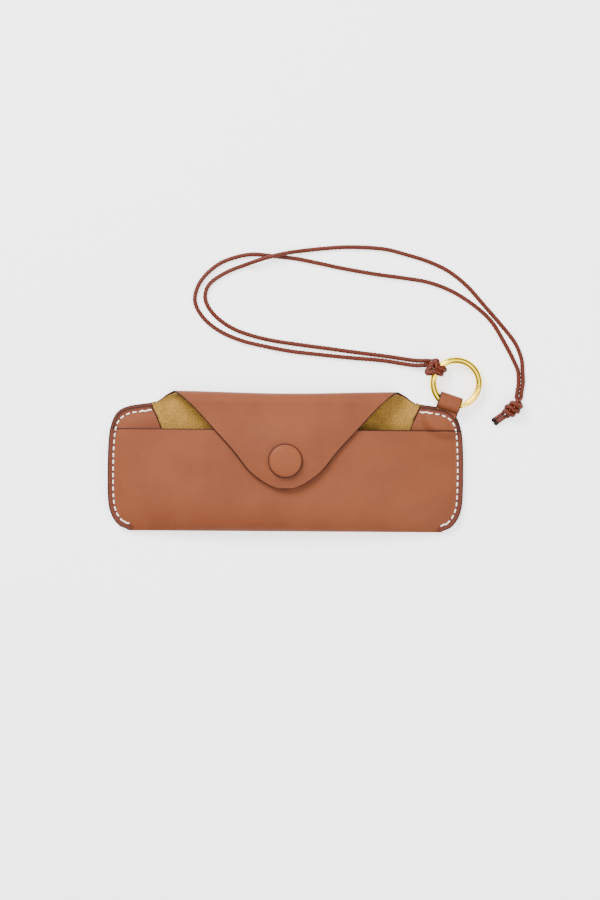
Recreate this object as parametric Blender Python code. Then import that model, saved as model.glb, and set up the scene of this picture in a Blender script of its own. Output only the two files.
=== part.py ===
"""Soft pouch glasses case with a snap flap, a tab loop, a spring-gate ring and a wrist cord.

The case lies on its back. +X runs along its length, +Y towards the fold of the flap and +Z up, through
its thickness. The origin is the middle of the back face. Lengths are in millimetres until MM scales them.
"""

import math

import bmesh
import bpy
import numpy as np

MM = 0.001

# Leather sheet of the pouch
BOTTOM_Y = -33.3
LEATHER = 0.9
LINING = 0.5
LAYER_GAP = 0.2
BACK_Z = LEATHER / 2 + 0.02
LINING_STEP = (LEATHER + LINING) / 2 + LAYER_GAP
# (half width, y) points of the right-hand edge, from the bottom corner to the end of the top fold
EDGE = [(75.0, -33.3), (79.6, -31.2), (83.2, -26.0), (84.8, -18.0), (85.0, 0.0), (84.3, 13.0), (82.3, 20.3),
        (79.2, 24.0), (74.5, 25.9), (69.0, 26.8), (64.2, 27.5), (60.6, 29.0), (57.2, 31.4), (53.5, 33.2)]

# Front panel
MOUTH_Y = 15.0
SEAM_ALLOWANCE = 4.0
GUSSET = 0.7
GUSSET_Z = LEATHER + LAYER_GAP + GUSSET / 2 + 0.02
SEAM_Z = GUSSET_Z + GUSSET / 2 + LAYER_GAP + 0.1 + LEATHER / 2
DOME = 8.6
BOTTOM_ROUND = 15.0
BOTTOM_TURN = 3.0
DIMPLE = 1.0
DIMPLE_RADIUS = 14.0

# Top fold and flap
FOLD_RADIUS = 5.2
FOLD_Y = 33.15 - LEATHER / 2 - FOLD_RADIUS
FOLD_TOP_Z = BACK_Z + 2 * FOLD_RADIUS
FOLD_HALF_WIDTH = 62.0
POLE = 0.785 * FOLD_RADIUS
POLE_SINK = 0.215 * FOLD_RADIUS
# (half width, y) points of the flap's edge, from the fold to its tip
FLAP_EDGE = [(53.5, 33.2), (46.2, 27.4), (34.8, 15.3), (25.0, 4.5), (17.8, -4.5), (10.8, -10.0), (5.0, -12.7),
             (1.2, -13.5)]
FLAP_RISE = 1.9
FLAP_BULGE = 3.3
FLAP_BULGE_RADIUS = 15.0
FLAP_SETTLE = 17.0

# Wings beside the mouth: (x, y) of their free inner edge
WING_TRIM = 1.3
WING_FLAT = 4.3
WING_RISE = 3.3
WING_EDGE = [(74.0, -29.0), (63.0, -15.0), (57.5, 0.0), (59.4, 15.0), (64.4, 26.5)]

# Seam
SEAM_INSET = 2.75
SEAM_TOP_Y = 27.2
THREAD = 0.76
THREAD_LIFT = 0.4

# Tab loop and ring
TAB_ROOT = np.array([77.0, 24.7])
TAB_OUT = np.array([0.315, 0.949])
TAB_ACROSS = np.array([0.949, -0.315])
TAB_WIDTH = 11.0
TAB_TUCK = 4.5
TAB_LIFT = 2.4
TAB_CLEAR = 7.9
RING_CENTRE = np.array([81.2, 37.6])
RING_Z = 3.9
RING_RADIUS = 10.93
WIRE = 3.15
GATE_FREE_DEG = -6.0
GATE_HINGE_DEG = -70.0
GATE_FACE_DEG = 48.0
PIN = 0.9
KNUCKLE = 1.35
EYE = 1.25
TONGUE = 1.0
SPRING_TURNS = 3
SPRING_COIL = 0.42
SPRING_WIRE = 0.24

# Snap
CAP_RADIUS = 8.2
POST_HOLE = 1.5
STUD_HOLE = 1.7
SNAP_SEGMENTS = 20

# Wrist cord
CORD = 2.0
HITCH_DEG = 142.0
PULL_DEG = 165.0
CORD_STEP = 5.2
FLOOR_Z = CORD / 2 + 0.05
CROSSING_LIFT = CORD + 0.25
# Route of each strand from the hitch to the end knot, chosen by hand
STRAND_A = [(46, 48.2), (31, 49.4), (15.5, 50.9), (2, 52.4), (-11, 54.8), (-21.7, 57.4), (-31.7, 61.7),
            (-39.3, 67.6), (-43.6, 74.8), (-43.1, 81.5), (-39.3, 88), (-32.6, 93.8), (-25, 97), (-16.5, 98.6),
            (-6.4, 97.8), (4.5, 96.6), (15.5, 94.5), (26.5, 92.2), (42.5, 89.5), (57, 87.6), (68, 85.7),
            (79, 81.6), (89.8, 74.8), (98.2, 67), (104.8, 56.2), (109.0, 48.2), (110.9, 43.5), (111.2, 38),
            (110.6, 33.8), (110.3, 31)]
STRAND_B = [(48, 50.3), (33, 52.1), (20, 53.8), (6.7, 55.5), (-6.4, 57.4), (-17.4, 60), (-26.2, 63.4),
            (-33.8, 68.8), (-38.2, 74.8), (-38.8, 80.2), (-36, 85.2), (-28.3, 90.2), (-17.4, 94.4),
            (-6.4, 97.8), (4.5, 100), (17.4, 101.6), (30.7, 102.4), (46, 101.6), (57, 99), (68, 95.6),
            (77.6, 91), (86.4, 84), (94, 75.5), (102.8, 65.5), (109.3, 57.2), (112.4, 49.8), (113.1, 43.5),
            (113.35, 38.2), (112.75, 34), (112.4, 31)]
CROSSING = np.array([-6.4, 97.8])
KNOT = np.array([108.2, 25.5])
KNOT_SIZE = (5.2, 3.6, 2.9)
TAIL_TIP = np.array([99.8, 19.3])


# ---------------------------------------------------------------- helpers

def smooth(t):
    """0 to 1 with level ends."""
    t = np.clip(t, 0.0, 1.0)
    return t * t * (3 - 2 * t)


def curve_through(points, per_span=12):
    """A Catmull-Rom curve through the points."""
    p = np.array(points, float)
    p = np.vstack([2 * p[0] - p[1], p, 2 * p[-1] - p[-2]])
    t = np.linspace(0, 1, per_span, endpoint=False)[:, None]
    spans = []
    for a, b, c, d in zip(p, p[1:], p[2:], p[3:]):
        second, third = 2 * a - 5 * b + 4 * c - d, 3 * b - a - 3 * c + d
        spans.append(0.5 * (2 * b + (c - a) * t + second * t**2 + third * t**3))
    return np.vstack(spans + [p[-2:-1]])


def spaced(path, step):
    """The path's points at even distances of about step."""
    path = np.array(path, float)
    along = np.concatenate([[0], np.cumsum(np.linalg.norm(np.diff(path, axis=0), axis=1))])
    at = np.linspace(0, along[-1], max(2, round(along[-1] / step) + 1))
    return np.stack([np.interp(at, along, column) for column in path.T], axis=1)


def material(name, colour, roughness, metallic=0.0):
    made = bpy.data.materials.new(name)
    made.use_nodes = True
    shader = made.node_tree.nodes["Principled BSDF"]
    shader.inputs["Base Color"].default_value = (*colour, 1.0)
    shader.inputs["Roughness"].default_value = roughness
    shader.inputs["Metallic"].default_value = metallic
    return made


def add_object(name, data, look, pivot=None):
    """Link the data as an object. With a pivot, its origin is there."""
    obj = bpy.data.objects.new(name, data)
    bpy.context.scene.collection.objects.link(obj)
    if look is not None:
        data.materials.append(look)
    if pivot is not None:
        obj.location = [c * MM for c in pivot]
    return obj


def mesh_object(name, verts, faces, look, pivot=None, round_shading=True):
    """A mesh object from millimetre points, with its faces turned outwards."""
    points = np.array(verts, float)
    if pivot is not None:
        points = points - np.array(pivot, float)
    mesh = bpy.data.meshes.new(name)
    mesh.from_pydata((points * MM).tolist(), [], faces)
    shell = bmesh.new()
    shell.from_mesh(mesh)
    bmesh.ops.recalc_face_normals(shell, faces=shell.faces)
    if shell.calc_volume(signed=True) < 0:
        bmesh.ops.reverse_faces(shell, faces=shell.faces)
    shell.to_mesh(mesh)
    shell.free()
    if round_shading:
        mesh.shade_smooth()
        mesh.set_sharp_from_angle(angle=math.radians(40))
    return add_object(name, mesh, look, pivot)


def grid_normals(grid):
    normal = np.cross(np.gradient(grid, axis=1), np.gradient(grid, axis=0))
    return normal / np.linalg.norm(normal, axis=2, keepdims=True)


def slab(name, middle, thickness, look, offset=0.0, pivot=None):
    """A closed sheet of even thickness about a grid of points, moved by offset along the grid's normals."""
    rows, columns = middle.shape[:2]
    normal = grid_normals(middle)
    upper = (middle + normal * (offset + thickness / 2)).reshape(-1, 3)
    lower = (middle + normal * (offset - thickness / 2)).reshape(-1, 3)
    count = rows * columns
    faces = []
    for i in range(rows - 1):
        for j in range(columns - 1):
            a = i * columns + j
            quad = (a, a + 1, a + columns + 1, a + columns)
            faces.append(quad)
            faces.append(tuple(count + k for k in reversed(quad)))
    rim = list(range(columns))
    rim += [i * columns + columns - 1 for i in range(1, rows)]
    rim += [(rows - 1) * columns + j for j in range(columns - 2, -1, -1)]
    rim += [i * columns for i in range(rows - 2, 0, -1)]
    for a, b in zip(rim, rim[1:] + rim[:1]):
        faces.append((a, count + a, count + b, b))
    return mesh_object(name, np.vstack([upper, lower]), faces, look, pivot)


def sweep(name, path, radius, sides, look, pivot=None):
    """A closed round bar along a path, with flat ends."""
    path = np.array(path, float)
    along = np.gradient(path, axis=0)
    along /= np.linalg.norm(along, axis=1, keepdims=True)
    side = np.cross(along[0], [0.0, 0.0, 1.0])
    if np.linalg.norm(side) < 0.1:
        side = np.cross(along[0], [1.0, 0.0, 0.0])
    verts = []
    for point, direction in zip(path, along):
        side = side - direction * np.dot(side, direction)
        side /= np.linalg.norm(side)
        up = np.cross(direction, side)
        for k in range(sides):
            turn = 2 * math.pi * k / sides
            verts.append(point + radius * (math.cos(turn) * side + math.sin(turn) * up))
    faces = [tuple(range(sides)), tuple(range(len(verts) - sides, len(verts)))]
    for i in range(len(path) - 1):
        for k in range(sides):
            a, b = i * sides + k, i * sides + (k + 1) % sides
            faces.append((a, b, b + sides, a + sides))
    return mesh_object(name, verts, faces, look, pivot)


def turned(name, profile, look, centre, segments=SNAP_SEGMENTS, pivot=None):
    """A solid turned about a vertical line through centre from a closed profile of (radius, z) points.

    Points with radius 0 are on the line itself, and become one vertex each.
    """
    verts, rings = [], []
    for radius, z in profile:
        if radius == 0:
            rings.append([len(verts)] * segments)
            verts.append((centre[0], centre[1], z))
            continue
        rings.append(list(range(len(verts), len(verts) + segments)))
        for k in range(segments):
            turn = 2 * math.pi * k / segments
            verts.append((centre[0] + radius * math.cos(turn), centre[1] + radius * math.sin(turn), z))
    faces = []
    for one, two in zip(rings, rings[1:] + rings[:1]):
        for k in range(segments):
            corners = (one[k], one[(k + 1) % segments], two[(k + 1) % segments], two[k])
            face = tuple(dict.fromkeys(corners))
            if len(face) > 2:
                faces.append(face)
    return mesh_object(name, verts, faces, look, pivot)


def cutter(name, radius, low, high, centre, segments=12):
    made = turned(name, [(0, low), (radius, low), (radius, high), (0, high)], None, centre, segments)
    hide(made)
    return made


def hide(obj):
    obj.hide_render = True
    obj.display_type = "WIRE"


def boolean(target, other, operation="DIFFERENCE"):
    modifier = target.modifiers.new(operation.lower(), "BOOLEAN")
    modifier.operation = operation
    modifier.object = other
    modifier.solver = "EXACT"


def cord(name, path, look):
    """A round cord as a curve with a bevel and filled caps."""
    data = bpy.data.curves.new(name, "CURVE")
    data.dimensions = "3D"
    data.bevel_depth = CORD / 2 * MM
    data.bevel_resolution = 2
    data.use_fill_caps = True
    spline = data.splines.new("POLY")
    spline.points.add(len(path) - 1)
    for point, place in zip(spline.points, path):
        point.co = (*[c * MM for c in place], 1.0)
    return add_object(name, data, look)


# ---------------------------------------------------------------- the pouch's surfaces

EDGE_CURVE = curve_through(EDGE)
FLAP_CURVE = curve_through(FLAP_EDGE)
WING_CURVE = curve_through(WING_EDGE)


def half_width(y):
    return np.interp(y, EDGE_CURVE[:, 1], EDGE_CURVE[:, 0])


def edge_y(x):
    """Y of the shoulder's edge above |x|."""
    shoulder = EDGE_CURVE[EDGE_CURVE[:, 1] > MOUTH_Y][::-1]
    return np.interp(np.abs(x), shoulder[:, 0], shoulder[:, 1])


def wing_inner(y):
    """|x| of a wing's free inner edge."""
    return np.interp(y, WING_CURVE[:, 1], WING_CURVE[:, 0])


def flap_half_width(y):
    return np.interp(y, FLAP_CURVE[::-1, 1], FLAP_CURVE[::-1, 0])


def tab_rise(x, y):
    """How far the layers above the tab's tucked-in root are lifted."""
    root = TAB_ROOT - TAB_OUT * TAB_TUCK / 2
    distance = np.hypot(x - root[0], y - root[1])
    return TAB_LIFT * (1 - smooth((distance - TAB_CLEAR) / 5.0))


def dome(x, y):
    """Z of the front where it lies over a pair of glasses."""
    inner = half_width(y) - SEAM_ALLOWANCE
    across = (1 - np.minimum(1, np.abs(x) / inner) ** 2.4) ** 0.9
    return SEAM_Z + DOME * across * (1 - 0.06 * smooth(y / MOUTH_Y))


def dimple(x, y):
    """Depth by which the closed snap pulls the leather in."""
    return DIMPLE * np.exp(-(x**2 + y**2) / DIMPLE_RADIUS**2)


def front_height(x, y):
    """Z of the middle of the front panel's leather."""
    top = dome(x, y) - dimple(x, y)
    side = SEAM_Z + 0.25 * (top - SEAM_Z)
    reach = 1 - np.clip((y - BOTTOM_Y) / BOTTOM_ROUND, 0, 1)
    return side + (top - side) * np.sqrt(1 - reach**2) + tab_rise(x, y)


def flap_height(x, y):
    """Z of the middle of the flap's leather: level with the fold at first, then lying on the front panel."""
    bulge = FLAP_BULGE * np.exp(-(x**2 + y**2) / FLAP_BULGE_RADIUS**2)
    front = dome(x, np.minimum(y, FOLD_Y)) - dimple(x, y)
    settled = smooth((FOLD_Y - y) / FLAP_SETTLE)
    return FOLD_TOP_Z + (front + FLAP_RISE + bulge - FOLD_TOP_Z) * settled


def gusset_height(x, y):
    """Z of the middle of a wing's leather: flat in the seam, rising inwards."""
    inset = np.minimum(half_width(y) - np.abs(x), edge_y(x) - y)
    past = inset - WING_FLAT
    rise = 0.25 * np.clip(past, 0, WING_RISE) + 0.05 * np.clip(past - WING_RISE, 0, None)
    return GUSSET_Z + rise + tab_rise(x, y)


COLUMNS = np.array([0, 0.14, 0.28, 0.42, 0.56, 0.7, 0.8, 0.88, 0.925, 0.955, 1.0])
COLUMNS = np.concatenate([-COLUMNS[:0:-1], COLUMNS])
# Rows of the front: shares of the rounded bottom, then Y up to the mouth
FRONT_REACHES = (0.02, 0.08, 0.2, 0.36, 0.56, 0.78, 1.0)
FRONT_LINES = [-12, -5, 0, 5, 10, MOUTH_Y - 0.6, MOUTH_Y]


def body_grid():
    """The back, the bottom fold and the front as one sheet, from the back's top edge to the mouth."""
    rows = []
    for y in (27.3, 25.5, 23, 20, 15, 6, -8, -18, -24, -28, BOTTOM_Y + BOTTOM_TURN):
        width = half_width(min(y, 25.9))
        x = COLUMNS * width
        if y > 20:
            shoulder = np.where(np.abs(x) > FOLD_HALF_WIDTH + 0.3, edge_y(x), 27.3)
            line = y + (shoulder - 27.3) * smooth((y - 20) / 7.3)
        else:
            line = np.full_like(x, y)
        rows.append(np.stack([x, line, np.full_like(x, BACK_Z)], axis=1))
    for turn in np.radians([25, 50, 75, 90]):
        y = BOTTOM_Y + BOTTOM_TURN * (1 - math.sin(turn))
        x = COLUMNS * half_width(y)
        side = front_height(x, np.full_like(x, BOTTOM_Y))
        rows.append(np.stack([x, np.full_like(x, y), BACK_Z + (side - BACK_Z) * (1 - math.cos(turn))], axis=1))
    for reach in FRONT_REACHES:
        rows.append(front_row(BOTTOM_Y + BOTTOM_ROUND * reach, COLUMNS))
    for y in FRONT_LINES:
        rows.append(front_row(y, COLUMNS))
    return np.array(rows)[:, ::-1]


def front_row(y, columns):
    x = columns * half_width(y)
    return np.stack([x, np.full_like(x, y), front_height(x, np.full_like(x, y))], axis=1)


def fold_grid(inset=0.0):
    """The turn over the top, from the back up to the flap."""
    columns = np.linspace(-1, 1, 15)
    rows = []
    for turn in np.radians(np.linspace(2, 178, 9)):
        y = FOLD_Y + FOLD_RADIUS * math.sin(turn)
        width = min(FOLD_HALF_WIDTH, half_width(y + 0.3)) if turn < math.pi / 2 else flap_half_width(y)
        x = columns * (width - inset)
        z = BACK_Z + FOLD_RADIUS * (1 - math.cos(turn))
        rows.append(np.stack([x, np.full_like(x, y), np.full_like(x, z)], axis=1))
    return np.array(rows)


def flap_grid(inset=0.0):
    """The flap, from the fold to its tip."""
    columns = np.linspace(-1, 1, 15)
    tip = FLAP_EDGE[-1][1] + inset
    lines = [y for y in (FOLD_Y - 0.25, 24, 20, 15, 10, 5, 0, -4.5, -8, -10.5, -12.3) if y > tip + 0.5]
    rows = []
    for y in lines + [tip]:
        width = max(flap_half_width(y) - 1.3 * inset, 0.8)
        x = columns * width
        rows.append(np.stack([x, np.full_like(x, y), flap_height(x, np.full_like(x, y))], axis=1))
    return np.array(rows)


# ---------------------------------------------------------------- sub-parts

def build_body(looks):
    sheet = slab("body_leather", body_grid(), LEATHER, looks["leather"])
    boolean(sheet, cutter("stud_hole", STUD_HOLE, 8.0, 12.0, (0, 0)))

    columns = np.linspace(-1, 1, 13)
    back = []
    for y in (-29.0, -24, -14, 0, 12, 18, 19.5, 23, 27.0):
        reach = wing_inner(y) - 1.0 if y > 19 else half_width(y) - WING_FLAT - WING_RISE
        x = columns * min(reach, 70.0)
        back.append(np.stack([x, np.full_like(x, y), np.full_like(x, BACK_Z)], axis=1))
    slab("back_lining", np.array(back), LINING, looks["suede"], offset=LINING_STEP)

    inner = COLUMNS[np.abs(COLUMNS) < 0.85]
    low_lines = [BOTTOM_Y + BOTTOM_ROUND * reach for reach in FRONT_REACHES[3:]]
    front = [front_row(y, inner) for y in low_lines + FRONT_LINES[:-1]]
    lining = slab("front_lining", np.array(front), LINING, looks["suede"], offset=-LINING_STEP)
    boolean(lining, cutter("stud_lining_hole", STUD_HOLE, 8.0, 12.0, (0, 0)))


def build_wing(side, looks):
    """One wing beside the mouth: side is -1 on the left and 1 on the right."""
    rows = []
    for y in (-29.0, -24, -16, -6, 4, 10, 12, 14.4, 16, 19.5, 22.7, 24.5, 27.0):
        inner = wing_inner(y)
        outer = half_width(min(y, 25.9)) - WING_TRIM
        insets = np.array([0, WING_FLAT - WING_TRIM, WING_FLAT + WING_RISE - WING_TRIM, 12.0, outer - inner])
        x = outer - np.minimum(insets, (outer - inner) * np.array([0, 0.35, 0.6, 0.8, 1.0]))
        line = y + (edge_y(x) - WING_TRIM - 27.0) * smooth((y - 18) / 9)
        z = gusset_height(side * x, line)
        rows.append(np.stack([side * x, line, z], axis=1))
    name = "left_gusset" if side < 0 else "right_gusset"
    slab(name, np.array(rows), GUSSET, looks["leather"])


def seam_path(side):
    """The line of stitching down one side, from the shoulder to the bottom corner."""
    edge = spaced(EDGE_CURVE[EDGE_CURVE[:, 1] < SEAM_TOP_Y], 2.4)
    along = np.gradient(edge, axis=0)
    along /= np.linalg.norm(along, axis=1, keepdims=True)
    inner = edge + SEAM_INSET * np.stack([-along[:, 1], along[:, 0]], axis=1)
    inner = inner[inner[:, 1] > BOTTOM_Y + 2.6]
    x, y = side * inner[:, 0], inner[:, 1]
    on_wing = smooth((y - MOUTH_Y - 0.4) / 1.5)
    front = SEAM_Z + LEATHER / 2
    wing = GUSSET_Z + GUSSET / 2
    z = front + (wing - front) * on_wing + tab_rise(x, y) + THREAD / 2 + THREAD_LIFT
    return np.stack([x, y, z], axis=1)


def build_seam(side, looks):
    name = "left_seam_thread" if side < 0 else "right_seam_thread"
    sweep(name, seam_path(side), THREAD / 2, 6, looks["thread"])


def build_tab(looks):
    """The strap folded round the ring: its two ends are tucked between the back and the wing."""
    points = [(-TAB_TUCK, 2.55), (-2.0, 2.55), (0.1, 2.6), (0.4, 3.6), (0.7, 5.2), (2.0, 6.25), (4.0, 6.3),
              (6.2, 5.7), (7.3, 3.9), (6.2, 2.2), (4.0, 1.7), (2.0, 1.5), (0.0, 1.5), (-TAB_TUCK, 1.5)]
    line = spaced(curve_through(points, 4), 1.3)
    rows = []
    for out, z in line:
        place = TAB_ROOT + TAB_OUT * out
        left, right = place - TAB_ACROSS * TAB_WIDTH / 2, place + TAB_ACROSS * TAB_WIDTH / 2
        rows.append([(*left, z), (*right, z)])
    slab("tab_loop", np.array(rows), LEATHER, looks["leather"])


def ring_point(degrees):
    turn = math.radians(degrees)
    return np.array([*(RING_CENTRE + RING_RADIUS * np.array([math.cos(turn), math.sin(turn)])), RING_Z])


def ring_arc(start, end, count):
    return [ring_point(degrees) for degrees in np.linspace(start, end, count)]


def gate_cutter(name, along, distance):
    """A big block whose one face is the slanted meeting plane of gate and ring, moved along its normal."""
    normal = np.array([math.cos(math.radians(GATE_FACE_DEG)), math.sin(math.radians(GATE_FACE_DEG)), 0])
    across = np.array([-normal[1], normal[0], 0])
    face = ring_point(GATE_FREE_DEG) + normal * distance
    corners = []
    for depth in (0.0, 5.0 * along):
        for side, up in ((-6, -4), (6, -4), (6, 4), (-6, 4)):
            corners.append(face + normal * depth + across * side + np.array([0, 0, up]))
    faces = [(0, 1, 2, 3), (4, 5, 6, 7), (0, 1, 5, 4), (1, 2, 6, 5), (2, 3, 7, 6), (3, 0, 4, 7)]
    made = mesh_object(name, corners, faces, None, round_shading=False)
    hide(made)
    return made


def build_ring(looks, swing_pivot):
    hinge = ring_point(GATE_HINGE_DEG)
    arc = ring_arc(GATE_FREE_DEG - 6, 360 + GATE_HINGE_DEG - 3, 46)
    ring = sweep("ring_body", arc, WIRE / 2, 10, looks["brass"], swing_pivot)
    boolean(ring, cutter("knuckle", KNUCKLE, RING_Z - 1.5, RING_Z + 1.5, hinge, 16), "UNION")
    boolean(ring, gate_cutter("ring_end_cut", -1, 0.1))
    boolean(ring, cutter("fork_slot", 3.1, RING_Z - 0.8, RING_Z + 0.8, hinge, 20))
    boolean(ring, cutter("ring_pin_hole", PIN / 2 + 0.08, RING_Z - 3, RING_Z + 3, hinge))

    arc = ring_arc(GATE_HINGE_DEG + 7, GATE_FREE_DEG + 8, 12)
    gate = sweep("ring_gate", arc, WIRE / 2 - 0.1, 10, looks["brass"], hinge)
    tongue_path = [hinge + (ring_point(GATE_HINGE_DEG + 14) - hinge) * share for share in (0, 0.5, 1)]
    flat = slab("tongue", tongue_strip(tongue_path), TONGUE, None)
    hide(flat)
    eye = cutter("tongue_eye", EYE, RING_Z - TONGUE / 2, RING_Z + TONGUE / 2, hinge, 16)
    boolean(gate, cutter("gate_shoulder_cut", 1.75, RING_Z - 3, RING_Z + 3, hinge, 20))
    boolean(gate, flat, "UNION")
    boolean(gate, eye, "UNION")
    boolean(gate, gate_cutter("gate_end_cut", 1, -0.1))
    boolean(gate, cutter("gate_pin_hole", PIN / 2 + 0.08, RING_Z - 3, RING_Z + 3, hinge))

    low, high = RING_Z - 1.45, RING_Z + 1.45
    profile = [(0, low), (PIN / 2, low), (PIN / 2, high), (0, high)]
    turned("gate_pin", profile, looks["steel"], hinge, 12, pivot=hinge)


def tongue_strip(path):
    """A strip 1.8 wide along the path, as a grid for slab."""
    direction = (path[-1] - path[0]) / np.linalg.norm(path[-1] - path[0])
    across = np.array([-direction[1], direction[0], 0]) * 0.9
    return np.array([[point - across, point + across] for point in path])


def build_gate_spring(looks):
    """The small coil in the ring's fork slot that pushes the gate shut, beside the tongue."""
    hinge = ring_point(GATE_HINGE_DEG)
    start = hinge + (ring_point(GATE_HINGE_DEG - 9) - hinge) * 0.85
    end = hinge + (ring_point(GATE_HINGE_DEG - 15) - hinge) * 0.98
    axis = (end - start) / np.linalg.norm(end - start)
    across = np.array([-axis[1], axis[0], 0])
    path = []
    for share in np.linspace(0, 1, 9 * SPRING_TURNS):
        turn = 2 * math.pi * SPRING_TURNS * share
        round_coil = math.cos(turn) * across + math.sin(turn) * np.array([0, 0, 1])
        path.append(start + (end - start) * share + SPRING_COIL * round_coil)
    sweep("gate_spring", path, SPRING_WIRE / 2, 5, looks["steel"], hinge)


def build_snap(looks):
    """Cap, cover, socket and spring on the flap; stud and rivet on the front panel, all on one axis."""
    flap_top = float(flap_height(0.0, 0.0)) + LEATHER / 2
    flap_under = flap_top - LEATHER - LINING - LAYER_GAP
    front_top = float(front_height(0.0, 0.0)) + LEATHER / 2
    front_under = front_top - LEATHER - LINING - LAYER_GAP
    base = flap_top + 0.3
    top = flap_under - 0.75
    turned("snap_cap_shell", [(0, base + 1.45), (4.0, base + 1.25), (6.6, base + 0.7), (7.3, base),
                              (1.25, base), (1.25, top - 0.55), (0, top - 0.55)], looks["brass"], (0, 0))
    turned("snap_cap_cover", [(0, base + 2.2), (4.2, base + 2.0), (7.0, base + 1.35), (CAP_RADIUS, base + 0.3),
                              (CAP_RADIUS - 0.1, base - 0.05), (7.6, base - 0.05), (6.9, base + 0.95),
                              (4.1, base + 1.5), (0, base + 1.7)], looks["leather"], (0, 0))
    low = front_top + 0.85
    turned("snap_socket", [(1.5, top), (5.2, top), (5.2, low), (3.6, low), (3.6, low + 0.35), (4.3, low + 0.5),
                           (4.3, low + 1.1), (3.6, low + 1.2), (3.6, top - 0.7), (1.5, top - 0.7)],
           looks["brass"], (0, 0))
    ring = [(3.78 * math.cos(a), 3.78 * math.sin(a), low + 0.8) for a in np.radians(np.linspace(20, 340, 22))]
    sweep("snap_spring", ring, 0.22, 6, looks["steel"])
    seat = front_top + 0.3
    turned("snap_stud", [(1.5, seat), (4.9, seat), (4.9, seat + 0.3), (2.7, seat + 0.4), (2.6, seat + 0.9),
                         (3.2, seat + 1.15), (2.9, seat + 1.5), (1.5, seat + 1.6)], looks["brass"], (0, 0))
    turned("snap_stud_rivet", [(0, front_under - 0.6), (4.6, front_under - 0.6), (4.6, front_under - 0.2),
                               (1.3, front_under - 0.2), (1.3, seat + 1.4), (0, seat + 1.4)],
           looks["brass"], (0, 0))


def build_flap(looks):
    pole_low = (0, FOLD_Y + POLE, BACK_Z + POLE_SINK)
    pole_high = (0, FOLD_Y + POLE, FOLD_TOP_Z - POLE_SINK)
    slab("fold_panel", fold_grid(), LEATHER, looks["leather"], pivot=pole_low)
    slab("fold_lining", fold_grid(inset=1.6), LINING, looks["suede"], offset=LINING_STEP, pivot=pole_low)
    panel = slab("flap_panel", flap_grid(), LEATHER, looks["leather"], pivot=pole_high)
    boolean(panel, cutter("post_hole", POST_HOLE, 10.0, 20.0, (0, 0)))
    lining = slab("flap_lining", flap_grid(inset=1.2), LINING, looks["suede"], LINING_STEP, pole_high)
    boolean(lining, cutter("post_lining_hole", POST_HOLE, 10.0, 20.0, (0, 0)))


def hitch_frame():
    """Origin on the wire's centre, the direction of the cord's pull scaled to clear the wire, and the wire's own."""
    turn, pull = math.radians(HITCH_DEG), math.radians(PULL_DEG)
    away = np.array([math.cos(pull), math.sin(pull), 0]) / math.cos(pull - turn)
    along = np.array([-math.sin(turn), math.cos(turn), 0])
    return ring_point(HITCH_DEG), away, along


def hitch_path():
    """A cow hitch: in under the bar, round the wire, along the bar and back the same way."""
    origin, away, along = hitch_frame()
    wrap = WIRE / 2 + CORD / 2 + 0.32
    lower = [(6.2, -0.1, -1.35), (5.1, -0.45, -1.4), (4.2, -0.1, -1.5), (3.3, 0.7, -1.75), (2.3, 1.5, -2.2),
             (0.9, 1.9, -wrap), (-1.4, 1.9, -wrap + 0.3), (-wrap, 1.9, -1.0), (-wrap, 1.9, 1.0), (-1.7, 1.9, 2.4),
             (0.2, 2.0, wrap + 0.05), (1.2, 2.9, 2.75), (2.2, 3.6, 2.35), (3.2, 3.2, 1.95), (3.6, 1.8, 1.8)]
    upper = [(3.7, 0.0, 1.8), (3.95, -1.8, 1.8), (3.9, -3.2, 1.95), (3.0, -3.9, 2.2), (2.0, -3.0, 2.5),
             (1.1, -1.6, 2.8), (0.2, -0.75, wrap + 0.05), (-1.7, -0.65, 2.4), (-wrap, -0.6, 1.0),
             (-wrap, -0.6, -1.0), (-1.4, -0.6, -wrap + 0.3), (0.9, -0.65, -wrap), (2.0, -1.2, -2.3),
             (3.2, -2.1, -1.75), (4.6, -2.75, -1.45), (6.05, -2.7, -1.4), (7.2, -2.4, -1.35)]
    return [origin + away * a + along * b + np.array([0, 0, c]) for a, b, c in lower + upper]


def strand_path(first, towards, route, lift=None):
    """A strand from the hitch's end down to the surface and along its route."""
    start = first + towards * 0.3
    ease = first + towards * 6.0
    ease[2] = start[2] - 0.75
    points = [start, ease] + [np.array([x, y, FLOOR_Z]) for x, y in route]
    path = curve_through(points)
    path[:, 2] = np.maximum(path[:, 2], FLOOR_Z)
    if lift is not None:
        distance = np.hypot(path[:, 0] - lift[0], path[:, 1] - lift[1])
        path[:, 2] += CROSSING_LIFT * smooth((17.0 - distance) / 10.0)
    return spaced(path, CORD_STEP)


def build_cord(looks):
    path = spaced(curve_through(hitch_path(), 4), 1.25)
    cord("ring_hitch", path, looks["cord"])
    out_a = (path[0] - path[1]) / np.linalg.norm(path[0] - path[1])
    out_b = (path[-1] - path[-2]) / np.linalg.norm(path[-1] - path[-2])
    cord("cord_strand_a", strand_path(path[0], out_a, STRAND_A), looks["cord"])
    cord("cord_strand_b", strand_path(path[-1], out_b, STRAND_B, lift=CROSSING), looks["cord"])
    build_knot(looks)


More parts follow.
